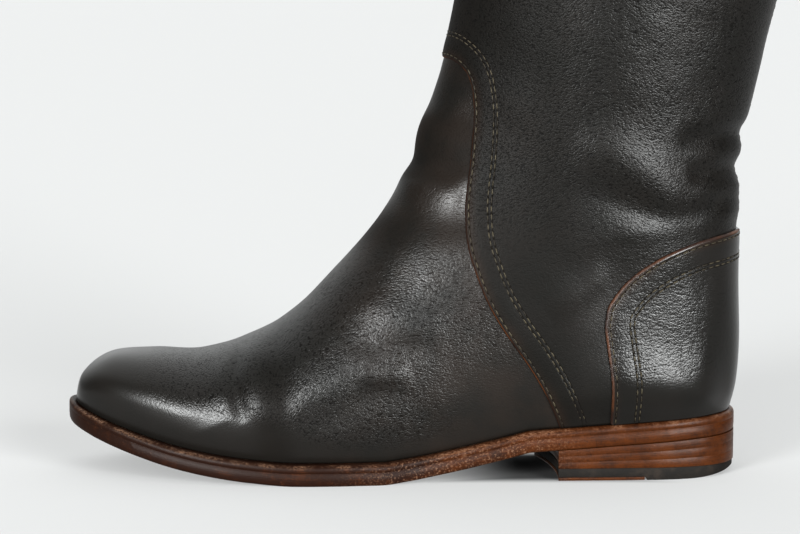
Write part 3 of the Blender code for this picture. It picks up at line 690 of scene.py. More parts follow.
# Leg: the shaft and the heel's sides in one piece of the same leather, lapped over the vamp with a
# raw, brown cut edge and closed by a seam down the back. It sags in soft folds over the ankle and
# the heel, and the shaft goes on plainly to the collar above the knee.
LAP_STEP = 1.0  # the leg lies this far above the vamp
EDGE_STEPS = np.array([0.0, 0.25, 0.5, 0.8, 1.15, 1.6])  # rings at these distances from the cut edge
RAW_EDGE = 1.2  # width of the bevelled cut edge
LAP_ROWS = (1.6, 9.4, 11.0)  # distances of the rows of stitches from the lap's edge
SEAM_PUFF = 0.15  # the leather stands up between its rows of stitches
CUP_HUMP = 3.4  # the swell of the heel's sides
CUP_HUMP_Z = 37.0
CUP_HUMP_WIDTH = 16.0
CUP_HOLLOW = 1.0
CUP_HOLLOW_Z = 82.0
SEAM_REACH = 24.0  # seams lie closer than this to a cut edge
HEEL_RINGS = 70  # rings from the lap's edge to the heel's back
SHAFT_RINGS = 225  # and on to the collar
LEG_SIDE_COLUMNS = 150
SHAFT_COARSE_Z = (240.0, 330.0)  # rings lie wider apart over these heights
SHAFT_THINNED = 0.62  # share of the rings that is left out there
LEG_CREASES = [
    Crease(
        "shaft fold high", 9.0, 1.6, 1.0, 0.7,
        [(-34, 145), (-20, 137), (-5, 129), (9, 118), (18, 106)],
    ),
    Crease(
        "shaft trough high", 7.0, -1.2, 1.0, 0.7,
        [(-40, 124), (-10, 115), (10, 108), (40, 124), (60, 132)],
    ),
    Crease("heel fold", 5.0, 1.2, 1.0, 0.8, [(-36, 98), (-6, 104), (14, 106), (40, 113), (56, 118)]),
    Crease("fold in front of the counter", 6.0, 0.9, 1.0, 0.6, [(-44, 70), (-26, 82), (-6, 95)]),
    Crease("back dip", 4.5, -2.2, 1.0, 1.0, [(6, 141), (30, 143), (64, 145)]),
    Crease("back crease", 4.0, -1.9, 1.0, 1.0, [(12, 127), (30, 129), (64, 131)]),
    Crease("back roll", 4.0, 1.1, 1.0, 1.0, [(12, 118), (30, 120), (64, 122)]),
]


def along_line(run, values, at):
    """Values between the points of a line, at the given lengths run along it."""
    return np.stack([np.interp(at, run, values[:, k]) for k in range(3)], axis=-1)


def edge_gap(grid, edge):
    """Distance of each grid point from an edge line: the least over points set close along it, worked
    out ring by ring; rings further than the seams reach are given their run along the grid."""
    run = run_length(edge)
    line = along_line(run, edge, np.linspace(0.0, run[-1], int(2 * run[-1])))
    gap = run_length(grid)
    near = gap.min(axis=1) < SEAM_REACH
    gap[near] = np.stack([np.linalg.norm(ring[:, None] - line, axis=-1).min(axis=1) for ring in grid[near]])
    return gap


def lap_run(u, v, inner_side):
    """Per column: length run per section across the lap's edge, measured square to that edge."""
    small = 1e-3
    start = upper_form(u, v, inner_side)
    step = (upper_form(u, v + small, inner_side) - start) / small
    way = np.gradient(start, axis=0)
    way /= np.linalg.norm(way, axis=-1, keepdims=True)
    return np.linalg.norm(np.cross(step, way), axis=-1)


def cut_bevel(gap):
    """Height of a cut edge, from 0 at the cut to 1 at full thickness: a quarter of a circle."""
    return np.sqrt(1 - (1 - np.clip(gap / RAW_EDGE, 0.0, 1.0)) ** 2)


def seam_puff(gap, rows):
    """Height between the first and the second row of stitches: half a sine wave."""
    share = np.clip((gap - rows[0]) / (rows[1] - rows[0]), 0.0, 1.0)
    return SEAM_PUFF * np.sin(math.pi * share)


def heel_cup(form):
    """The heel's sides swell over the welt and draw in above: a bell-shaped hump and hollow that fade
    out towards the lap and the back line."""
    z = form[..., 2]
    hump = CUP_HUMP * bell(z, CUP_HUMP_Z, CUP_HUMP_WIDTH)
    hollow = CUP_HOLLOW * bell(z, CUP_HOLLOW_Z, CUP_HUMP_WIDTH)
    along_side = ease(form[..., 0], -50.0, -18.0) * (1 - ease(form[..., 0], 18.0, 32.0))
    return (hump - hollow) * along_side * ease(z, 22.0, 37.0)


def leg_relief(form, gap):
    """Height of the leg's folds and small unevenness: none along the lap's edge, under the counter
    and at the welt."""
    under_counter = ease(form[..., 0], -26.0, -14.0) * (1 - ease(form[..., 2], 92.0, 112.0))
    free = ease(gap, 1.0, 16.0) * (1 - under_counter) * ease(form[..., 2], 26.0, 46.0)
    uneven = 0.45 * lattice_noise(form, 26.0, 11) + 0.20 * lattice_noise(form, 11.0, 12)
    return free * (crease_relief(form, LEG_CREASES) + uneven) + heel_cup(form)


leg_columns, leg_inner = round_columns(LEG_SIDE_COLUMNS)
leg_lap = find_lap(leg_columns, leg_inner)
edge_v = leg_lap + EDGE_STEPS[:, None] / lap_run(leg_columns, leg_lap, leg_inner)
start_v = edge_v[-1]
heel_share = (HEEL_BACK - start_v[0]) / (COLLAR - start_v[0])
back_line = upper_form(0.0, HEEL_BACK + (COLLAR - HEEL_BACK) * fine_places, False)
density = 1 - SHAFT_THINNED * ease(back_line[1:, 2], *SHAFT_COARSE_Z)
shaft_share = heel_share + (1 - heel_share) * even_places(back_line, SHAFT_RINGS + 1, density)
heel_places = np.linspace(0.0, heel_share, HEEL_RINGS - len(EDGE_STEPS) + 2)
leg_share = np.concatenate([heel_places[1:], shaft_share[1:]])
leg_v = np.concatenate([edge_v, start_v + (COLLAR - start_v) * leg_share[:, None]])
leg_u = leg_columns + 0 * leg_v
leg_form = upper_form(leg_u, leg_v, leg_inner)
leg_normals = form_normals(leg_u, leg_v, leg_inner)
lap_gap = edge_gap(leg_form, leg_form[0])
leg_height = LAP_STEP * cut_bevel(lap_gap) + leg_relief(leg_form, lap_gap) + seam_puff(lap_gap, LAP_ROWS)
leg_points = leg_form + leg_height[..., None] * leg_normals
leg = leather_shell(
    "leg",
    leg_points,
    leg_normals,
    LEATHER,
    SHEET_STEP,
    pole=False,
    closed_from=HEEL_RINGS,
    marks={
        "flex": 0.35 + 0.60 * ease(leg_form[..., 2], 50.0, 130.0),
        "dull": 0.8 - 0.8 * ease(leg_form[..., 0], -44.0, -14.0),
        "rub": 0.1 * (1 - ease(lap_gap, 0.0, 6.0)),
        "seam": lap_gap,
    },
    material=dark_leather(
        "leg_leather",
        (1.7, 0.66),
        [(0.3, None), (-0.3, -20.0), (0.2, 16.0)],
        gloss=0.25,
        shine=0.05,
        wax=0.20,
        rows=LAP_ROWS,
        raw_width=0.6,
    ),
)
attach(leg, "root")
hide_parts("upper")

# Counter: a second layer of leather round the heel, sewn over the leg with its cut edge left raw. It
# is stiffened from inside, so it keeps its round form, with only fine wrinkles, and shines more than
# the rest.
COUNTER_FRONT = [
    # (height, x): its front edge in the side view
    (16.2, -16.7),
    (40.2, -16.9),
    (55.2, -18.6),
    (65.2, -19.9),
]
COUNTER_TOP = [
    # (x, height): and its top edge, back to the heel's back line
    (-19.9, 65.2),
    (-18.6, 73.2),
    (-13.6, 80.7),
    (-5.2, 88.4),
    (7.0, 95.4),
    (21.0, 100.2),
    (44.0, 104.2),
]
COUNTER_UNDER = LAP_STEP + 0.05  # its inner face above the foot form
COUNTER_THICKNESS = 1.4
COUNTER_CUT = 0.1  # its thickness at the cut edge, where it is bevelled
COUNTER_SECTIONS = 220
COUNTER_SIDE_COLUMNS = 44
CORNER_REACH = 0.5  # sections over which the heel's back corner is rounded
CORNER_PASSES = 160
COUNTER_SHORT = 12.0  # shorter rows squeeze the steps at the cut edge together
COUNTER_ROWS = (2.1, 10.2, 11.9)  # distances of its rows of stitches from its edge
COUNTER_END = 0.02  # sections left off at both ends, where the rows run out


def counter_limit(v, inner_side):
    """Column place u where each section v leaves the counter's outline, found by halving."""
    low, high = np.zeros_like(v), np.full_like(v, 0.95)
    for _ in range(40):
        middle = (low + high) / 2
        point = upper_form(middle, v, inner_side)
        inside = point[..., 0] > through(COUNTER_FRONT, point[..., 2])
        inside &= point[..., 2] < through(COUNTER_TOP, point[..., 0])
        low = np.where(inside, middle, low)
        high = np.where(inside, high, middle)
    return (low + high) / 2


def double_sheet(name, outer, inner, quads, material, marks):
    """Closed sheet between two like grids: both sides, and a wall along every edge of one face."""
    count = len(outer)
    pairs = np.concatenate([quads[:, [k, (k + 1) % 4]] for k in range(4)])
    key = pairs[:, 0] * count + pairs[:, 1]
    alone = pairs[~np.isin(key, pairs[:, 1] * count + pairs[:, 0])]
    wall = np.stack([alone[:, 1], alone[:, 0], alone[:, 0] + count, alone[:, 1] + count], axis=-1)
    faces = np.concatenate([quads, quads[:, ::-1] + count, wall])
    used, number = np.unique(faces, return_inverse=True)
    values = {label: np.concatenate([value, value])[used] for label, value in marks.items()}
    return make_piece(
        name,
        np.concatenate([outer, inner])[used],
        [number.reshape(faces.shape)],
        material,
        marks=values,
    )


def ease_corner(values, corner):
    """Values averaged with the rows before and after, many times over, as far as corner says: it
    rounds the fold where the heel's sides turn into its back."""
    for _ in range(CORNER_PASSES):
        middle = (np.roll(values, 1, axis=0) + np.roll(values, -1, axis=0)) / 2
        values = values + 0.5 * corner[..., None] * (middle - values)
    return values


fine_v = np.linspace(9.0, 18.0, 4000)
base_x, base_z, _, _ = lower_edge(fine_v)
on_counter = (base_x > through(COUNTER_FRONT, base_z)) & (base_z < through(COUNTER_TOP, base_x))
counter_ends = fine_v[on_counter][[0, -1]] + np.array([COUNTER_END, -COUNTER_END])
sample_v = np.linspace(*counter_ends, len(fine_places))
counter_edge = upper_form(counter_limit(sample_v, False), sample_v, False)
counter_v = np.interp(even_places(counter_edge, COUNTER_SECTIONS), fine_places, sample_v)[:, None]
side_columns = COUNTER_SIDE_COLUMNS + 1
counter_on_inner = np.arange(2 * side_columns) >= side_columns
limit = np.where(counter_on_inner, counter_limit(counter_v, True), counter_limit(counter_v, False))
side = upper_form(limit[:, :1] * fine_places, counter_v + 0 * fine_places, False)
side_length = run_length(side, axis=1)[:, -1:]
near_edge = EDGE_STEPS / np.maximum(side_length, COUNTER_SHORT)
rest = np.linspace(0.0, 1.0, side_columns + 1 - len(EDGE_STEPS))[1:]
from_edge = np.concatenate([near_edge, near_edge[:, -1:] + (1 - near_edge[:, -1:]) * rest], axis=1)
counter_u = limit * (1 - np.concatenate([from_edge, from_edge[:, ::-1]], axis=1))
counter_v = counter_v + 0 * counter_u
corner = bell(counter_v, HEEL_BACK, CORNER_REACH) * ease(counter_u, 0.0, 0.05)
counter_form = ease_corner(upper_form(counter_u, counter_v, counter_on_inner), corner)
counter_normals = ease_corner(form_normals(counter_u, counter_v, counter_on_inner), corner)
counter_normals /= np.linalg.norm(counter_normals, axis=-1, keepdims=True)
outer_gap = edge_gap(counter_form[:, :side_columns].swapaxes(0, 1), counter_form[:, 0]).swapaxes(0, 1)
counter_gap = np.concatenate([outer_gap, outer_gap[:, ::-1]], axis=1)
counter_height = COUNTER_UNDER + COUNTER_CUT + (COUNTER_THICKNESS - COUNTER_CUT) * cut_bevel(counter_gap)
counter_height += 0.12 * ease(counter_gap, 1.0, 14.0) * lattice_noise(counter_form, 14.0, 21)
counter_height += seam_puff(counter_gap, COUNTER_ROWS)
cup = heel_cup(counter_form)
counter_points = counter_form + (counter_height + cup)[..., None] * counter_normals
counter_inner = counter_form + (COUNTER_UNDER + cup)[..., None] * counter_normals
counter_number = np.arange(counter_u.size).reshape(counter_u.shape)
at_back = counter_v[:, 0] > HEEL_BACK
counter_number[at_back, side_columns] = counter_number[at_back, side_columns - 1]
counter_sides = counter_number[:, :side_columns], counter_number[:, side_columns:]
wrinkled = ease(counter_form[..., 2], 38.0, 50.0) * (1 - ease(counter_form[..., 2], 84.0, 100.0))
counter_flex = 0.12 + 0.80 * wrinkled * (1 - 0.8 * ease(counter_form[..., 0], 10.0, 36.0))
counter = double_sheet(
    "counter_cover",
    counter_points.reshape(-1, 3),
    counter_inner.reshape(-1, 3),
    np.concatenate([grid_quads(part) for part in counter_sides])[:, ::-1],
    dark_leather(
        "counter_leather",
        (3.4, 1.0),
        [(0.12, None), (-0.12, 4.0)],
        gloss=0.17,
        shine=0.21,
        rows=COUNTER_ROWS,
        raw_width=1.0,
    ),
    marks={
        "flex": counter_flex.ravel(),
        "rub": 0.15 * (1 - ease(counter_gap, 0.0, 5.0)).ravel(),
        "seam": counter_gap.ravel(),
    },
)
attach(counter, "root")
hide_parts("counter")

# Stitches: waxed olive thread, seven stitches to the inch, drawn down into needle holes, whose shade is
# painted as small black lenses. One row holds each cut edge down and two rows follow it further in; two
# more close the back seam.
STITCH_PITCH = 3.5
STITCH_LENGTH = 2.9
THREAD_WIDE = 0.31  # half width and half height of a stitch
THREAD_HIGH = 0.26
THREAD_RISE = 0.02  # middle of a stitch over the leather, and its ends under it
THREAD_SINK = 0.32
HOLE_WIDE = 0.36  # half widths and half height of the black lens painted as the shade in a needle hole
HOLE_HIGH = 0.10
HOLE_SHADE_BLACK = (0.0016, 0.0014, 0.0012)
THREAD_SIDES = 6
THREAD_RINGS = np.array([-1.0, -0.82, -0.4, 0.4, 0.82, 1.0])  # places along a stitch, end to end
ROW_STEP = 0.5  # places along the lap's rows are this far apart
ROW_SMOOTH = 16  # their direction is smoothed over this many places on both sides
SEAM_ROW = 1.9  # distance of the row from the back line, on each side
SEAM_COLUMNS = 20  # columns beside the back line among which that row lies
COLLAR_ROW = 4.0  # distance of the row below the collar's edge
COLLAR_RINGS = 59  # rings below the edge among which that row lies
THREAD = (0.028, 0.0230, 0.0140)
THREAD_DARK = (0.007, 0.0052, 0.0033)


def row_on_sheet(points, normals, gap, distance):
    """Line on a sheet where gap, which grows along the first direction, reaches a distance: the place
    between two rings is shared out linearly on each column."""
    after = np.clip(np.argmax(gap >= distance, axis=0), 1, len(gap) - 1)
    line = np.arange(gap.shape[1])
    low, high = gap[after - 1, line], gap[after, line]
    share = ((distance - low) / np.maximum(high - low, 1e-9))[:, None]
    reached = gap.max(axis=0) >= distance
    at = points[after - 1, line] * (1 - share) + points[after, line] * share
    up = normals[after - 1, line] * (1 - share) + normals[after, line] * share
    return at[reached], up[reached]


def row_beside(edge, edge_normals, points, normals, distance):
    """Line on a sheet beside its edge: the edge, smoothed, is moved aside within the sheet by the
    distance, and each place is then moved along the nearest point's normal on to that point's level."""
    run = run_length(edge)
    at = np.arange(0.0, run[-1], ROW_STEP)
    line = along_line(run, edge, at)
    weights = np.hanning(2 * ROW_SMOOTH + 3)[1:-1]
    weights /= weights.sum()
    way = np.gradient(line, axis=0)
    padded = np.pad(way, ((ROW_SMOOTH, ROW_SMOOTH), (0, 0)), mode="edge")
    way = np.stack([np.convolve(padded[:, k], weights, mode="valid") for k in range(3)], axis=-1)
    aside = np.cross(along_line(run, edge_normals, at), way)
    aside /= np.linalg.norm(aside, axis=-1, keepdims=True)
    aside *= np.sign(np.sum(aside * (points.mean(axis=0) - line), axis=-1).mean())
    place = line + distance * aside
    apart = np.sum(points**2, axis=-1) - 2 * place @ points.T
    nearest = np.argmin(apart, axis=1)
    level = normals[nearest]
    place += np.sum((points[nearest] - place) * level, axis=-1, keepdims=True) * level
    return place, level


def row_frames(points, normals, shift):
    """Places along a line one pitch apart, moved on by a share of the pitch, each with its own
    directions: along the line, aside and up."""
    run = run_length(points)
    count = int(run[-1] / STITCH_PITCH)
    at = (np.arange(count) + shift) * run[-1] / count
    way = along_line(run, points, at + 0.5) - along_line(run, points, at - 0.5)
    way /= np.linalg.norm(way, axis=-1, keepdims=True)
    up = along_line(run, normals, at)
    up -= np.sum(up * way, axis=-1, keepdims=True) * way
    up /= np.linalg.norm(up, axis=-1, keepdims=True)
    return along_line(run, points, at), np.stack([way, np.cross(way, up), up], axis=1)


def beads(frames, length, wide, high, rise, sink):
    """Long beads at places along a row: round its own axis each has the radius sqrt(1 - t^2) from end
    to end, and its axis goes from rise in the middle down to -sink at both ends."""
    centre, ways = frames
    t = THREAD_RINGS[:, None]
    turn = np.linspace(0.0, 2 * math.pi, THREAD_SIDES, endpoint=False)
    radius = np.sqrt(np.maximum(1 - t**2, 0.02))
    local = np.stack(
        [
            length / 2 * t + 0 * turn,
            wide * radius * np.cos(turn),
            high * radius * np.sin(turn) + rise - (rise + sink) * t**4,
        ],
        axis=-1,
    ).reshape(-1, 3)
    return centre[:, None] + np.einsum("pk,nkx->npx", local, ways)


def bead_faces(count):
    """Faces of count beads: the sides as a closed grid and the two flat ends."""
    number = np.arange(len(THREAD_RINGS) * THREAD_SIDES).reshape(-1, THREAD_SIDES)
    sides = grid_quads(np.concatenate([number, number[:, :1]], axis=1))
    shift = np.arange(count)[:, None, None] * number.size
    ends = np.stack([number[0], number[-1, ::-1]])
    return [(sides + shift).reshape(-1, 4), (ends + shift).reshape(-1, THREAD_SIDES)]


def thread_finish(name):
    """Waxed thread: its tone changes from stitch to stitch, and a fine twist runs across it."""
    material, tree, shader = new_material(name)
    place = add(tree, "TexCoord").outputs["Object"]
    colour = blend(tree, span(tree, noise(tree, place, 240.0), 0.30, 0.62), THREAD_DARK, THREAD)
    twist = add(tree, "TexWave", {"Vector": place, "Scale": 900.0, "Distortion": 1.0})
    normal = bumped(tree, twist.outputs["Fac"], 0.4, 0.0001)
    dress(tree, shader, colour, normal, 0.6, 0.15)
    return material


def hole_shade_finish(name):
    """Painted shade of a needle hole: black, a little uneven."""
    material, tree, shader = new_material(name)
    place = add(tree, "TexCoord").outputs["Object"]
    colour = blend(tree, noise(tree, place, 700.0), HOLE_SHADE_BLACK, THREAD_DARK)
    tree.links.new(colour, shader.inputs["Base Color"])
    shader.inputs["Roughness"].default_value = 0.9
    shader.inputs["Specular IOR Level"].default_value = 0.05
    return material


def sew(name, rows):
    """All stitches of several rows as one mesh, and the painted shade of the needle holes between them as
    another.
    """
    stitch = (STITCH_LENGTH, THREAD_WIDE, THREAD_HIGH, THREAD_RISE, THREAD_SINK)
    hole = (2 * HOLE_WIDE, HOLE_WIDE, HOLE_HIGH, 0.0, 0.0)
    parts = [
        (name + "_stitches", 0.5, stitch, thread_finish(name + "_thread")),
        (name + "_holes", 0.0, hole, hole_shade_finish(name + "_hole_painted_shade")),
    ]
    for part_name, shift, sizes, finish in parts:
        shapes = np.concatenate([beads(row_frames(*row, shift), *sizes) for row in rows])
        part = make_piece(part_name, shapes.reshape(-1, 3), bead_faces(len(shapes)), finish)
        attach(part, "root")


by_lap = lap_gap < SEAM_REACH
lap_sheet = (leg_form[0], leg_normals[0], leg_points[by_lap], leg_normals[by_lap])
sew("lap", [row_beside(*lap_sheet, distance) for distance in LAP_ROWS])
counter_lines = []
for columns in (slice(0, side_columns), slice(None, side_columns - 1, -1)):
    parts = (counter_points, counter_normals, counter_gap)
    counter_side = [part[:, columns].swapaxes(0, 1) for part in parts]
    counter_lines += [row_on_sheet(*counter_side, distance) for distance in COUNTER_ROWS]
sew("counter", counter_lines)
above_counter = leg_form[:, 0, 2] > through(COUNTER_TOP, leg_form[:, 0, 0]) + 1.0
above_counter[:HEEL_RINGS] = False
seam_lines = []
for columns in (slice(0, SEAM_COLUMNS), slice(None, -SEAM_COLUMNS - 1, -1)):
    seam_side = [part[above_counter, columns].swapaxes(0, 1) for part in (leg_points, leg_normals)]
    from_seam = run_length(leg_form[above_counter, columns], axis=1).swapaxes(0, 1)
    seam_lines.append(row_on_sheet(*seam_side, from_seam, SEAM_ROW))
sew("seam", seam_lines)
top_rings = slice(None, -COLLAR_RINGS - 1, -1)
from_collar = run_length(leg_form[top_rings])
sew("collar", [row_on_sheet(leg_points[top_rings], leg_normals[top_rings], from_collar, COLLAR_ROW)])

# Lining: thin undyed leather inside the whole upper, glued to the vamp and the leg and cut off level
# with the collar. It shows only from above.
LINING = 0.9  # its thickness, and its distance under the leather
LINING_GAP = 0.15
LINING_VAMP_RINGS = 60
LINING_HEEL_RINGS = 20
LINING_SHAFT_RINGS = 90
LINING_SIDE_COLUMNS = 60
LINING_TAN = (0.300, 0.205, 0.130)
LINING_SOIL = (0.120, 0.078, 0.046)


def plain_leather(name, clean, soiled, roughness):
    """Undyed leather: broad stains, fine pores and a dull surface."""
    material, tree, shader = new_material(name)
    place = add(tree, "TexCoord").outputs["Object"]
    colour = blend(tree, span(tree, noise(tree, place, 18.0, 5.0, 0.65), 0.35, 0.70), clean, soiled)
    pores = add(tree, "TexVoronoi", {"Vector": place, "Scale": 900.0})
    dress(tree, shader, colour, bumped(tree, pores.outputs["Distance"], 0.4, 0.0001), roughness)
    return material


lining_columns, lining_inner = round_columns(LINING_SIDE_COLUMNS)
lining_lap = find_lap(lining_columns, lining_inner)
heel_share = (HEEL_BACK - lining_lap[0]) / (COLLAR - lining_lap[0])
heel_part = np.linspace(0.0, heel_share, LINING_HEEL_RINGS + 1)[1:]
shaft_part = np.linspace(heel_share, 1.0, LINING_SHAFT_RINGS + 1)[1:]
lining_share = np.concatenate([heel_part, shaft_part])[:, None]
front_share = np.linspace(0.02, 1.0, LINING_VAMP_RINGS)[:, None]
lining_v = np.concatenate([lining_lap * front_share, lining_lap + (COLLAR - lining_lap) * lining_share])
lining_u = lining_columns + 0 * lining_v
lining_form = upper_form(lining_u, lining_v, lining_inner)
lining_normals = form_normals(lining_u, lining_v, lining_inner)
in_leg = slice(LINING_VAMP_RINGS - 1, None)
lining_relief = vamp_relief(lining_form, lining_u, lining_v, lining_lap)
lining_relief[in_leg] = leg_relief(lining_form[in_leg], run_length(lining_form[in_leg]))
lining_step = LAP_STEP * ease(lining_v - lining_lap, LAP_UNDER, 2 * LAP_UNDER)
lining_under = LEATHER + LINING_GAP - lining_step - lining_relief
lining_number = np.arange(lining_v.size).reshape(lining_v.shape)
closed_rings = lining_v[:, 0] > HEEL_BACK - 1e-6
lining_number[closed_rings, -1] = lining_number[closed_rings, 0]
lining = double_sheet(
    "lining",
    (lining_form - lining_under[..., None] * lining_normals).reshape(-1, 3),
    (lining_form - (lining_under + LINING)[..., None] * lining_normals).reshape(-1, 3),
    grid_quads(lining_number),
    plain_leather("lining_leather", LINING_TAN, LINING_SOIL, 0.62),
    marks={},
)
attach(lining, "root")

# Insole: a firm leather board inside the upper, which the vamp and the leg are lasted round. It is
# seen from above, down the shaft.
INSOLE_EDGE = -2.6  # its edge, inside the upper's lower edge
INSOLE_TOP = UPPER_BOTTOM + 2.2
SOLE_SIDE_POINTS = 230
LEDGE = [
    # (x, width): how far the sole's edge stands out from the upper
    (-250.0, 2.8),
    (-200.0, 4.2),
    (-140.0, 4.6),
    (-80.0, 3.6),
    (-38.0, 2.6),
    (10.0, 2.4),
    (HEEL_BACK_X, 4.8),
]

whole_v = np.linspace(0.0, HEEL_BACK, 1500)
whole_x, _, whole_out, _ = lower_edge(whole_v)
sole_v = HEEL_BACK * even_places(np.stack([whole_x, -whole_out], axis=-1), SOLE_SIDE_POINTS)


def sole_loop(offset):
    """Closed plan outline: the upper's lower edge moved out along its normals. It runs from the toe
    tip along the outer side to the heel's back and along the inner side to the toe."""
    x, _, out, inner = lower_edge(sole_v)
    out[-1] = inner[-1] = 0.0
    centre = smooth(column(FOOT, "centre"), sole_v)
    outer_side = np.stack([x, centre - out], axis=-1)
    inner_side = np.stack([x, centre + inner], axis=-1)
    loop = np.concatenate([outer_side, inner_side[-2:0:-1]])
    way = np.roll(loop, -2, axis=0) - np.roll(loop, 2, axis=0)
    way /= np.linalg.norm(way, axis=1, keepdims=True)
    distance = offset(loop[:, 0]) if callable(offset) else offset
    return loop + np.reshape(distance, (-1, 1)) * np.stack([way[:, 1], -way[:, 0]], axis=-1)


def ledge(inset):
    """Offset of the sole's edge, less an inset."""
    return lambda x: through(LEDGE, x) - inset


def wavy(points, amount, seed):
    """Hand-trimmed edge: plan points moved in and out by a slow noise."""
    shift = amount * lattice_noise(points, 11.0, seed) + 0.5 * amount * lattice_noise(points, 4.0, seed)
    middle = points.mean(axis=(0, 1))
    way = (points - middle) * np.array([1.0, 1.0, 0.0])
    way /= np.maximum(np.linalg.norm(way, axis=-1, keepdims=True), 1e-9)
    return points + shift[..., None] * way


def loop_levels(levels, rough=0.0, seed=0):
    """Points of a side wall: each level is an outline's offset and a height over the sole's underside."""
    rows = []
    for offset, height in levels:
        loop = sole_loop(offset)
        rows.append(np.column_stack([loop, sole_bottom(loop[:, 0]) + height]))
    return wavy(np.stack(rows), rough, seed)


def cap_strips(count):
    """Strips across a loop that starts at the toe: point numbers of outer and inner side, and the next."""
    last = count // 2
    outer_side = np.arange(last + 1)
    inner_side = (-outer_side) % count
    strips = np.stack([outer_side[:-1], outer_side[1:], inner_side[1:], inner_side[:-1]], axis=-1)
    return strips[1:-1], np.array([[0, 1, count - 1], [last - 1, last, last + 1]])


def ring_closed(grid):
    """A grid with its first column again at its end."""
    return np.concatenate([grid, grid[:, :1]], axis=1)


def unfolded(grid):
    """UV pair at the corners of each cell of a grid: the lengths run along it and up it, in decimetres."""
    run = np.stack([run_length(grid, axis=1), run_length(grid, axis=0)], axis=-1).reshape(-1, 2) / 100
    return run[grid_quads(np.arange(len(run)).reshape(grid.shape[:2]))]


def sole_slab(name, points, material):
    """Solid with a wall of levels round the sole's outline and a cap of strips at the top and bottom."""
    levels, count = points.shape[:2]
    number = np.arange(levels * count).reshape(levels, count)
    wall = grid_quads(ring_closed(number))[:, ::-1]
    strips, ends = cap_strips(count)
    top = (levels - 1) * count
    caps = np.concatenate([strips + top, strips[:, ::-1]])
    triangles = np.concatenate([ends + top, ends[:, ::-1]])
    plan_uv = points[..., :2].reshape(-1, 2) / 100
    uv = [unfolded(ring_closed(points))[:, ::-1], plan_uv[caps], plan_uv[triangles]]
    faces = [wall, caps, triangles]
    return make_piece(name, points.reshape(-1, 3), faces, material, uv=uv, sharp=50.0)


insole = sole_slab(
    "insole_board",
    loop_levels(
        [
            (INSOLE_EDGE - 0.4, WELT_BOTTOM),
            (INSOLE_EDGE, WELT_BOTTOM + 0.4),
            (INSOLE_EDGE, INSOLE_TOP - 0.5),
            (INSOLE_EDGE - 0.5, INSOLE_TOP),
        ]
    ),
    plain_leather("insole_board", LINING_TAN, LINING_SOIL, 0.7),
)
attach(insole, "root")
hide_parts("insole")

# Welt: a strip of thick leather sewn round the upper's lower edge, its top corner rounded off with a hot
# iron. The edge is stained brown and waxed, and pale along the top, partly rubbed and partly a painted
# highlight on the rounded corner.
WELT_ROUND = 2.2
WELT_INNER = -2.0
WELT_CORNER_STEPS = 7
WELT_RUB_AND_SHEEN = (0.0, 0.0, 0.0, 0.0, 0.3, 0.8, 1.0, 0.8, 0.3, 0.0, 0.0)  # wear and painted highlight on each level, bottom to top
SEAM_BEVEL = 0.02  # corners of the groove between welt and outsole
LAYER_GAP = 0.02  # gap between the layers of the sole and the heel
EDGE_ROUGH = 0.14  # the whole edge is trimmed in one go, so its layers are uneven in the same way
EDGE_SEED = 31
BURNT_BROWN = (0.0072, 0.0022, 0.0009)
WARM_BROWN = (0.0330, 0.0096, 0.0022)
EDGE_DARK = (0.0070, 0.0032, 0.0022)
EDGE_PALE = (0.130, 0.080, 0.052)
WARM_FROM_X = (-0.190, -0.020)  # the stain turns redder from the ball to the heel, in metres
DRY_FRONT_X = (-0.140, -0.095)  # the wax is dry and speckled at the waist, in metres
DRY_BACK_X = (-0.050, -0.020)


def stained_edge(name):
    """Cut edge of sole leather, stained and waxed: thin strata along the edge, blotches of stain that turn
    redder towards the heel, dark pores, small pale scuffs, pale specks where the wax is dry, and pale
    rubbing where the mark worn says, which on the welt's rounded top is partly a painted highlight."""
    material, tree, shader = new_material(name)
    where = add(tree, "TexCoord")
    place = where.outputs["Object"]
    stretched = add(tree, "Mapping", {"Vector": where.outputs["UV"], "Scale": (6.0, 170.0, 1.0)})
    strata = noise(tree, stretched.outputs[0], 1.0, 3.0, 0.6)
    blotch = noise(tree, place, 90.0, 6.0, 0.75)
    speck = noise(tree, place, 1200.0, 3.0, 0.7)
    backward = add(tree, "SeparateXYZ", {0: place}).outputs["X"]
    warmth = span(tree, backward, *WARM_FROM_X, -0.11, 0.09)
    tone = weighted_sum(tree, (strata, 0.20), (blotch, 0.60), (speck, 0.20), (warmth, 1.0))
    colour = blend(tree, span(tree, tone, 0.40, 0.70), BURNT_BROWN, WARM_BROWN)
    colour = blend(tree, span(tree, speck, 0.42, 0.28, 0.0, 0.8), colour, EDGE_DARK)
    scuff = span(tree, speck, 0.64, 0.74, 0.0, 0.15)
    blotchy = span(tree, blotch, 0.40, 0.62, 0.0, 0.45)
    # pale where the mark worn says: partly rubbing, and on the welt's rounded top partly a painted
    # highlight
    rub_and_sheen = product(tree, mark(tree, "worn"), blotchy, span(tree, speck, 0.38, 0.62))
    dry_front = span(tree, backward, *DRY_FRONT_X)
    dry_back = span(tree, backward, *DRY_BACK_X, 1.0, 0.0)
    dry = product(tree, dry_front, dry_back, span(tree, speck, 0.52, 0.66, 0.0, 0.35))
    pale = math_node(tree, "MAXIMUM", scuff, math_node(tree, "MAXIMUM", rub_and_sheen, dry))
    colour = blend(tree, pale, colour, EDGE_PALE)
    normal = bumped(tree, strata, 0.4, 0.0001, bumped(tree, speck, 0.5, 0.00015))
    dress(tree, shader, colour, normal, span(tree, tone, 0.40, 0.70, 0.44, 0.32), 0.07)
    return material


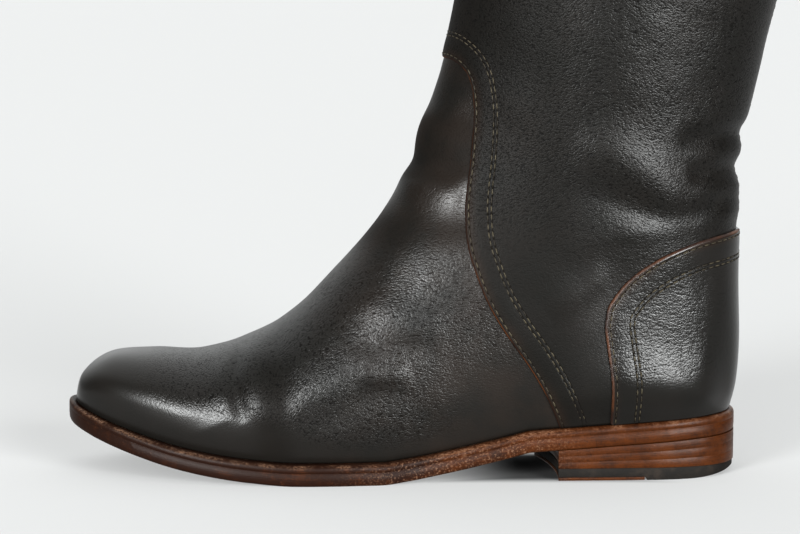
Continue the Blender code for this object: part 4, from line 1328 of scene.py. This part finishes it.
welt_levels = [
    (WELT_INNER, WELT_BOTTOM),
    (ledge(SEAM_BEVEL), WELT_BOTTOM),
    (ledge(0.0), WELT_BOTTOM + SEAM_BEVEL),
]
for angle in np.linspace(0.0, math.pi / 2, WELT_CORNER_STEPS):
    drawn_in = WELT_ROUND * (1 - math.cos(angle))
    welt_levels.append((ledge(drawn_in), WELT_TOP - WELT_ROUND * (1 - math.sin(angle))))
welt_levels.append((WELT_INNER, WELT_TOP))
welt_points = loop_levels(welt_levels, rough=EDGE_ROUGH, seed=EDGE_SEED)
welt_number = np.arange(welt_points.size // 3).reshape(welt_points.shape[:2])
welt_round = ring_closed(np.concatenate([welt_points, welt_points[:1]]))
# the pale band on the welt's top levels is partly wear and partly a painted highlight
welt_wear_and_sheen = np.array(WELT_RUB_AND_SHEEN)[:, None] + np.zeros(welt_points.shape[1])
welt = make_piece(
    "welt_strip",
    welt_points.reshape(-1, 3),
    [grid_quads(ring_closed(np.concatenate([welt_number, welt_number[:1]])))[:, ::-1]],
    stained_edge("welt_edge"),
    uv=[unfolded(welt_round)[:, ::-1]],
    marks={"worn": welt_wear_and_sheen.ravel()},
    sharp=60.0,
)
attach(welt, "root")
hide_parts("welt")

# Outsole: one thick piece of sole leather, cut to the welt's outline, its edge trimmed and stained like
# the welt's. The tread is worn flat under the ball of the foot.
TREAD_BEVEL = 0.9
TREAD_IN = 0.1  # the tread's corner lies this far inside the edge
outsole_points = loop_levels(
    [
        (ledge(TREAD_IN + TREAD_BEVEL), 0.0),
        (ledge(TREAD_IN + 0.3 * TREAD_BEVEL), 0.3 * TREAD_BEVEL),
        (ledge(TREAD_IN), TREAD_BEVEL),
        (ledge(0.0), 0.5 * OUTSOLE_THICKNESS),
        (ledge(0.0), WELT_BOTTOM - LAYER_GAP - SEAM_BEVEL),
        (ledge(SEAM_BEVEL), WELT_BOTTOM - LAYER_GAP),
    ],
    rough=EDGE_ROUGH,
    seed=EDGE_SEED,
)
outsole = sole_slab("outsole_slab", outsole_points, stained_edge("outsole_edge"))
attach(outsole, "root")
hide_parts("outsole")

# Heel lifts: three layers of sole leather pegged under the seat, sanded flush and stained, so that only
# fine lines show between them. The front face is hollow and set askew.
HEEL_LIFTS = 3
TOP_LIFT_THICKNESS = 5.2
BREAST_OUT_X = -38.0
BREAST_IN_X = -45.0
BREAST_HOLLOW = 3.5
HEEL_PAD_END_X = -2.0
WORN_FROM_X = 15.5
FRONT_ROWS = 24
BACK_ROWS = 60
HEEL_ACROSS = 14
LIFT_ROUND = 0.03
LIFT_INSET = 0.10  # the lowest lift's edge inside the sole's, and how much less it is for each next one
LIFT_INSET_STEP = 0.03


def heel_plan(inset):
    """Grid in plan behind the heel's front face: rows run across from the outer to the inner side, the
    first along the hollow front face, the last at the heel's back."""
    loop = sole_loop(ledge(inset))
    last = len(loop) // 2
    outer_side, inner_side = loop[: last + 1], loop[last:][::-1]
    t = np.linspace(0.0, 1.0, HEEL_ACROSS + 1)
    front = np.linspace(0.0, 1.0, FRONT_ROWS)
    back = np.sin(np.linspace(0.0, math.pi / 2, BACK_ROWS + 1))[1:]
    end = loop[last, 0]
    tail = HEEL_PAD_END_X + (end - HEEL_PAD_END_X) * back
    outer_x = np.concatenate([BREAST_OUT_X + (HEEL_PAD_END_X - BREAST_OUT_X) * front, tail])
    inner_x = np.concatenate([BREAST_IN_X + (HEEL_PAD_END_X - BREAST_IN_X) * front, tail])
    outer_y = np.interp(outer_x, outer_side[:, 0], outer_side[:, 1])
    inner_y = np.interp(inner_x, inner_side[:, 0], inner_side[:, 1])
    outer_y[-1] = inner_y[-1] = loop[last, 1]
    hollow = BREAST_HOLLOW - inset
    bow = np.concatenate([(1 - front) ** 2, 0 * tail])[:, None] * hollow * 4 * t * (1 - t)
    x = outer_x[:, None] + (inner_x - outer_x)[:, None] * t + bow
    y = outer_y[:, None] + (inner_y - outer_y)[:, None] * t
    return np.stack([x, y], axis=-1)


def heel_slab(name, inset, bottom, top, material, rounding=LIFT_ROUND, rough=0.0, seed=0, rows=None):
    """Solid over heel_plan, or over its first rows, between two heights, its corners rounded in three
    steps. The wall follows the border of the plan's grid, which also makes the two caps."""
    levels = [
        (inset + rounding, bottom, 0.0),
        (inset + 0.3 * rounding, bottom, 0.3 * rounding),
        (inset, bottom, rounding),
        (inset, top, -rounding),
        (inset + 0.3 * rounding, top, -0.3 * rounding),
        (inset + rounding, top, 0.0),
    ]
    grids = []
    for edge, base, rise in levels:
        plan = heel_plan(edge)[:rows]
        grids.append(np.concatenate([plan, (base(plan[..., 0]) + rise)[..., None]], axis=-1))
    flat = np.stack(grids).reshape(len(levels), -1, 3)
    grids = wavy(flat, rough, seed).reshape(len(levels), *grids[0].shape)
    size = grids.shape[1] * grids.shape[2]
    number = np.arange(size).reshape(grids.shape[1:3])
    cap = grid_quads(number)
    tips = np.zeros((0, 3), int)
    back = number[-1, -2::-1]
    if rows is None:
        number[-1] = number[-1, 0]
        cap, tips = grid_quads(number[:-1]), grid_quads(number[-2:])[:, [0, 1, 3]]
        back = number[-1, :0]
    border = np.concatenate([number[0], number[1:, -1], back, number[-2:0:-1, 0]])
    wall_number = np.arange(len(levels))[:, None] * size + border
    wall = grid_quads(ring_closed(wall_number))
    lift = (len(levels) - 1) * size
    caps = np.concatenate([cap[:, ::-1], cap + lift])
    quads = np.concatenate([wall, caps])
    triangles = np.concatenate([tips[:, ::-1], tips + lift])
    points = grids.reshape(-1, 3)
    plan_uv = points[:, :2] / 100
    uv = [unfolded(ring_closed(points[wall_number])), plan_uv[caps], plan_uv[triangles]]
    used, fresh = np.unique(np.concatenate([quads.ravel(), triangles.ravel()]), return_inverse=True)
    faces = [fresh[: quads.size].reshape(quads.shape), fresh[quads.size :].reshape(triangles.shape)]
    piece = make_piece(name + "_slab", points[used], faces, material, uv=uv, sharp=50.0)
    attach(piece, "root")
    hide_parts(name)
    return piece


def lift_height(share):
    """Height between the top lift and the heel seat, at a share of the way up."""
    return lambda x: TOP_LIFT_THICKNESS + (sole_bottom(x) - TOP_LIFT_THICKNESS) * share


for lift in range(HEEL_LIFTS):
    lift_number = HEEL_LIFTS - lift
    piece = heel_slab(
        f"heel_lift_{lift_number}",
        LIFT_INSET - LIFT_INSET_STEP * lift,
        lift_height(lift / HEEL_LIFTS),
        lambda x, share=(lift + 1) / HEEL_LIFTS: lift_height(share)(x) - LAYER_GAP,
        stained_edge(f"lift_edge_{lift_number}"),
        rough=EDGE_ROUGH,
        seed=EDGE_SEED,
    )

# Top lift: the rubber under the heel, worn off at its back corner, with a thin leather pad let into
# its front half.
TOP_LIFT_INSET = 0.6  # its edge inside the sole's
TOP_LIFT_GAP = 0.15  # under the lowest lift
HEEL_PAD_THICKNESS = 1.3
HEEL_PAD_INSET = 0.7
HEEL_PAD_GAP = 0.1  # between the pad and the rubber over it
HEEL_PAD_STEP = 0.6  # the rubber comes down to the floor over this length behind the pad
WORN_HEIGHT = 2.9
RUBBER_GREY = (0.0038, 0.0030, 0.0024)
RUBBER_DUST = (0.0100, 0.0072, 0.0054)


def worn_rubber(name):
    """Matt dark rubber with dusty scuffs and a fine rough surface."""
    material, tree, shader = new_material(name)
    place = add(tree, "TexCoord").outputs["Object"]
    dust = noise(tree, place, 120.0, 5.0, 0.7)
    colour = blend(tree, span(tree, dust, 0.42, 0.72), RUBBER_GREY, RUBBER_DUST)
    normal = bumped(tree, noise(tree, place, 1500.0, 3.0), 0.5, 0.0002)
    dress(tree, shader, colour, normal, 0.72, 0.10)
    return material


def rubber_bottom(x):
    """Underside of the rubber: over the pad in front, on the floor, then the worn corner, which rises
    as the square of the way back."""
    step_x = [HEEL_PAD_END_X, HEEL_PAD_END_X + HEEL_PAD_STEP]
    over_pad = np.interp(x, step_x, [HEEL_PAD_THICKNESS + HEEL_PAD_GAP, 0.0])
    worn = np.clip((x - WORN_FROM_X) / (HEEL_BACK_X - WORN_FROM_X), 0.0, None)
    return over_pad + WORN_HEIGHT * worn**2


top_lift = heel_slab(
    "top_lift",
    TOP_LIFT_INSET,
    rubber_bottom,
    lambda x: TOP_LIFT_THICKNESS - TOP_LIFT_GAP + 0 * x,
    worn_rubber("heel_rubber"),
    rough=0.15,
    seed=51,
)
heel_pad = heel_slab(
    "heel_pad",
    HEEL_PAD_INSET,
    lambda x: 0 * x,
    lambda x: HEEL_PAD_THICKNESS + 0 * x,
    stained_edge("pad_edge"),
    rounding=0.2,
    rough=0.1,
    seed=52,
    rows=FRONT_ROWS,
)

# Floor, light and camera: a pale plain floor with a painted shadow under the arch and a painted glow
# elsewhere, soft light from above and in front, and the camera level with the shin, looking slightly down
# on the boot's outer side.
FRAME_WIDTH = 800
FOCAL_PIXELS = 2611
SENSOR = 36.0
CAMERA_AT = (-0.1038, -1.10, 0.206)
CAMERA_TILT = 83.767  # degrees up from straight down
FLOOR_GLOW = 0.38  # painted light: the floor also glows a little, except under the arch, so that shadows are mild
FLOOR_GREY = 0.205
ARCH_SHADE = 0.25  # how much of that grey is left under the arch, as a painted shadow
ARCH_PAINTED_SHADOW = [
    # (axis, middle, half size, soft border) of the painted shadow under the arch, in metres
    ("X", -0.044, 0.008, 0.052),
    ("Y", 0.0, 0.024, 0.014),
]
FLOOR_REACH = 100.0  # metres, past what the camera can see of it
ROOM_LIGHT = 0.08  # what is dim behind the lamps
BACKGROUND = 0.78  # what the camera sees behind the floor
LIGHT_TINT = (0.98, 1.0, 1.0, 1.0)
FLOOR_TINT = (0.99, 1.0, 0.995)
VIEW_GAMMA = 0.88
GLOWS = [
    # (direction, cosine where it starts, cosine where it is full, strength)
    ((0.0, 0.50, 0.87), 0.42, 0.80, 1.60),
    ((0.0, 0.97, 0.24), 0.20, 0.70, 0.32),
    ((-0.560, -0.805, 0.190), 0.978, 0.996, 114.0),
    ((-0.252, -0.878, 0.407), 0.966, 0.992, 10.0),
    ((0.560, -0.800, 0.200), 0.940, 0.986, 50.0),
]

floor_mesh = bpy.data.meshes.new("floor")
corners = np.array([(-1, -1, 0), (1, -1, 0), (1, 1, 0), (-1, 1, 0)]) * FLOOR_REACH
floor_mesh.from_pydata(corners.tolist(), [], [(0, 1, 2, 3)])
floor = bpy.data.objects.new("floor", floor_mesh)
bpy.context.scene.collection.objects.link(floor)
floor_material, floor_tree, floor_shader = new_material("pale_floor")
floor_place = add(floor_tree, "SeparateXYZ", {0: add(floor_tree, "TexCoord").outputs["Object"]})
clear_of_painted_shadow = []
for axis, middle, half_size, border in ARCH_PAINTED_SHADOW:
    aside = math_node(floor_tree, "SUBTRACT", floor_place.outputs[axis], middle)
    aside = math_node(floor_tree, "ABSOLUTE", aside)
    clear_of_painted_shadow.append(span(floor_tree, aside, half_size, half_size + border))
# painted shadow: under the arch the floor's grey is darker and its glow is off
outside_painted_shadow = math_node(floor_tree, "MAXIMUM", *clear_of_painted_shadow)
floor_grey = blend(floor_tree, outside_painted_shadow, (ARCH_SHADE * FLOOR_GREY,) * 3, (FLOOR_GREY,) * 3)
floor_tree.links.new(floor_grey, floor_shader.inputs["Base Color"])
glow = blend(floor_tree, outside_painted_shadow, (0.0, 0.0, 0.0), FLOOR_TINT)
floor_tree.links.new(glow, floor_shader.inputs["Emission Color"])
floor_shader.inputs["Emission Strength"].default_value = FLOOR_GLOW
floor_shader.inputs["Roughness"].default_value = 1.0
floor_shader.inputs["Specular IOR Level"].default_value = 0.0
floor_mesh.materials.append(floor_material)

world = bpy.data.worlds.new("studio")
world.use_nodes = True
sky = world.node_tree
direction = add(sky, "TexCoord").outputs["Generated"]
light = ROOM_LIGHT
for way, start, full, strength in GLOWS:
    way = np.array(way) / np.linalg.norm(way)
    facing = add(sky, "VectorMath", {0: direction, 1: tuple(way)}, operation="DOT_PRODUCT")
    light = math_node(sky, "ADD", span(sky, facing.outputs["Value"], start, full, 0.0, strength), light)
seen = add(sky, "LightPath").outputs["Is Camera Ray"]
light = add(sky, "Mix", {0: seen, 2: light, 3: BACKGROUND}, data_type="FLOAT").outputs[0]
sky.nodes["Background"].inputs["Color"].default_value = LIGHT_TINT
sky.links.new(light, sky.nodes["Background"].inputs["Strength"])
bpy.context.scene.world = world
bpy.context.scene.view_settings.view_transform = "Standard"
bpy.context.scene.view_settings.gamma = VIEW_GAMMA

camera_data = bpy.data.cameras.new("camera")
camera_data.sensor_width = SENSOR
camera_data.lens = SENSOR * FOCAL_PIXELS / FRAME_WIDTH
camera = bpy.data.objects.new("camera", camera_data)
camera.location = CAMERA_AT
camera.rotation_euler = (math.radians(CAMERA_TILT), 0.0, 0.0)
bpy.context.scene.collection.objects.link(camera)
bpy.context.scene.camera = camera
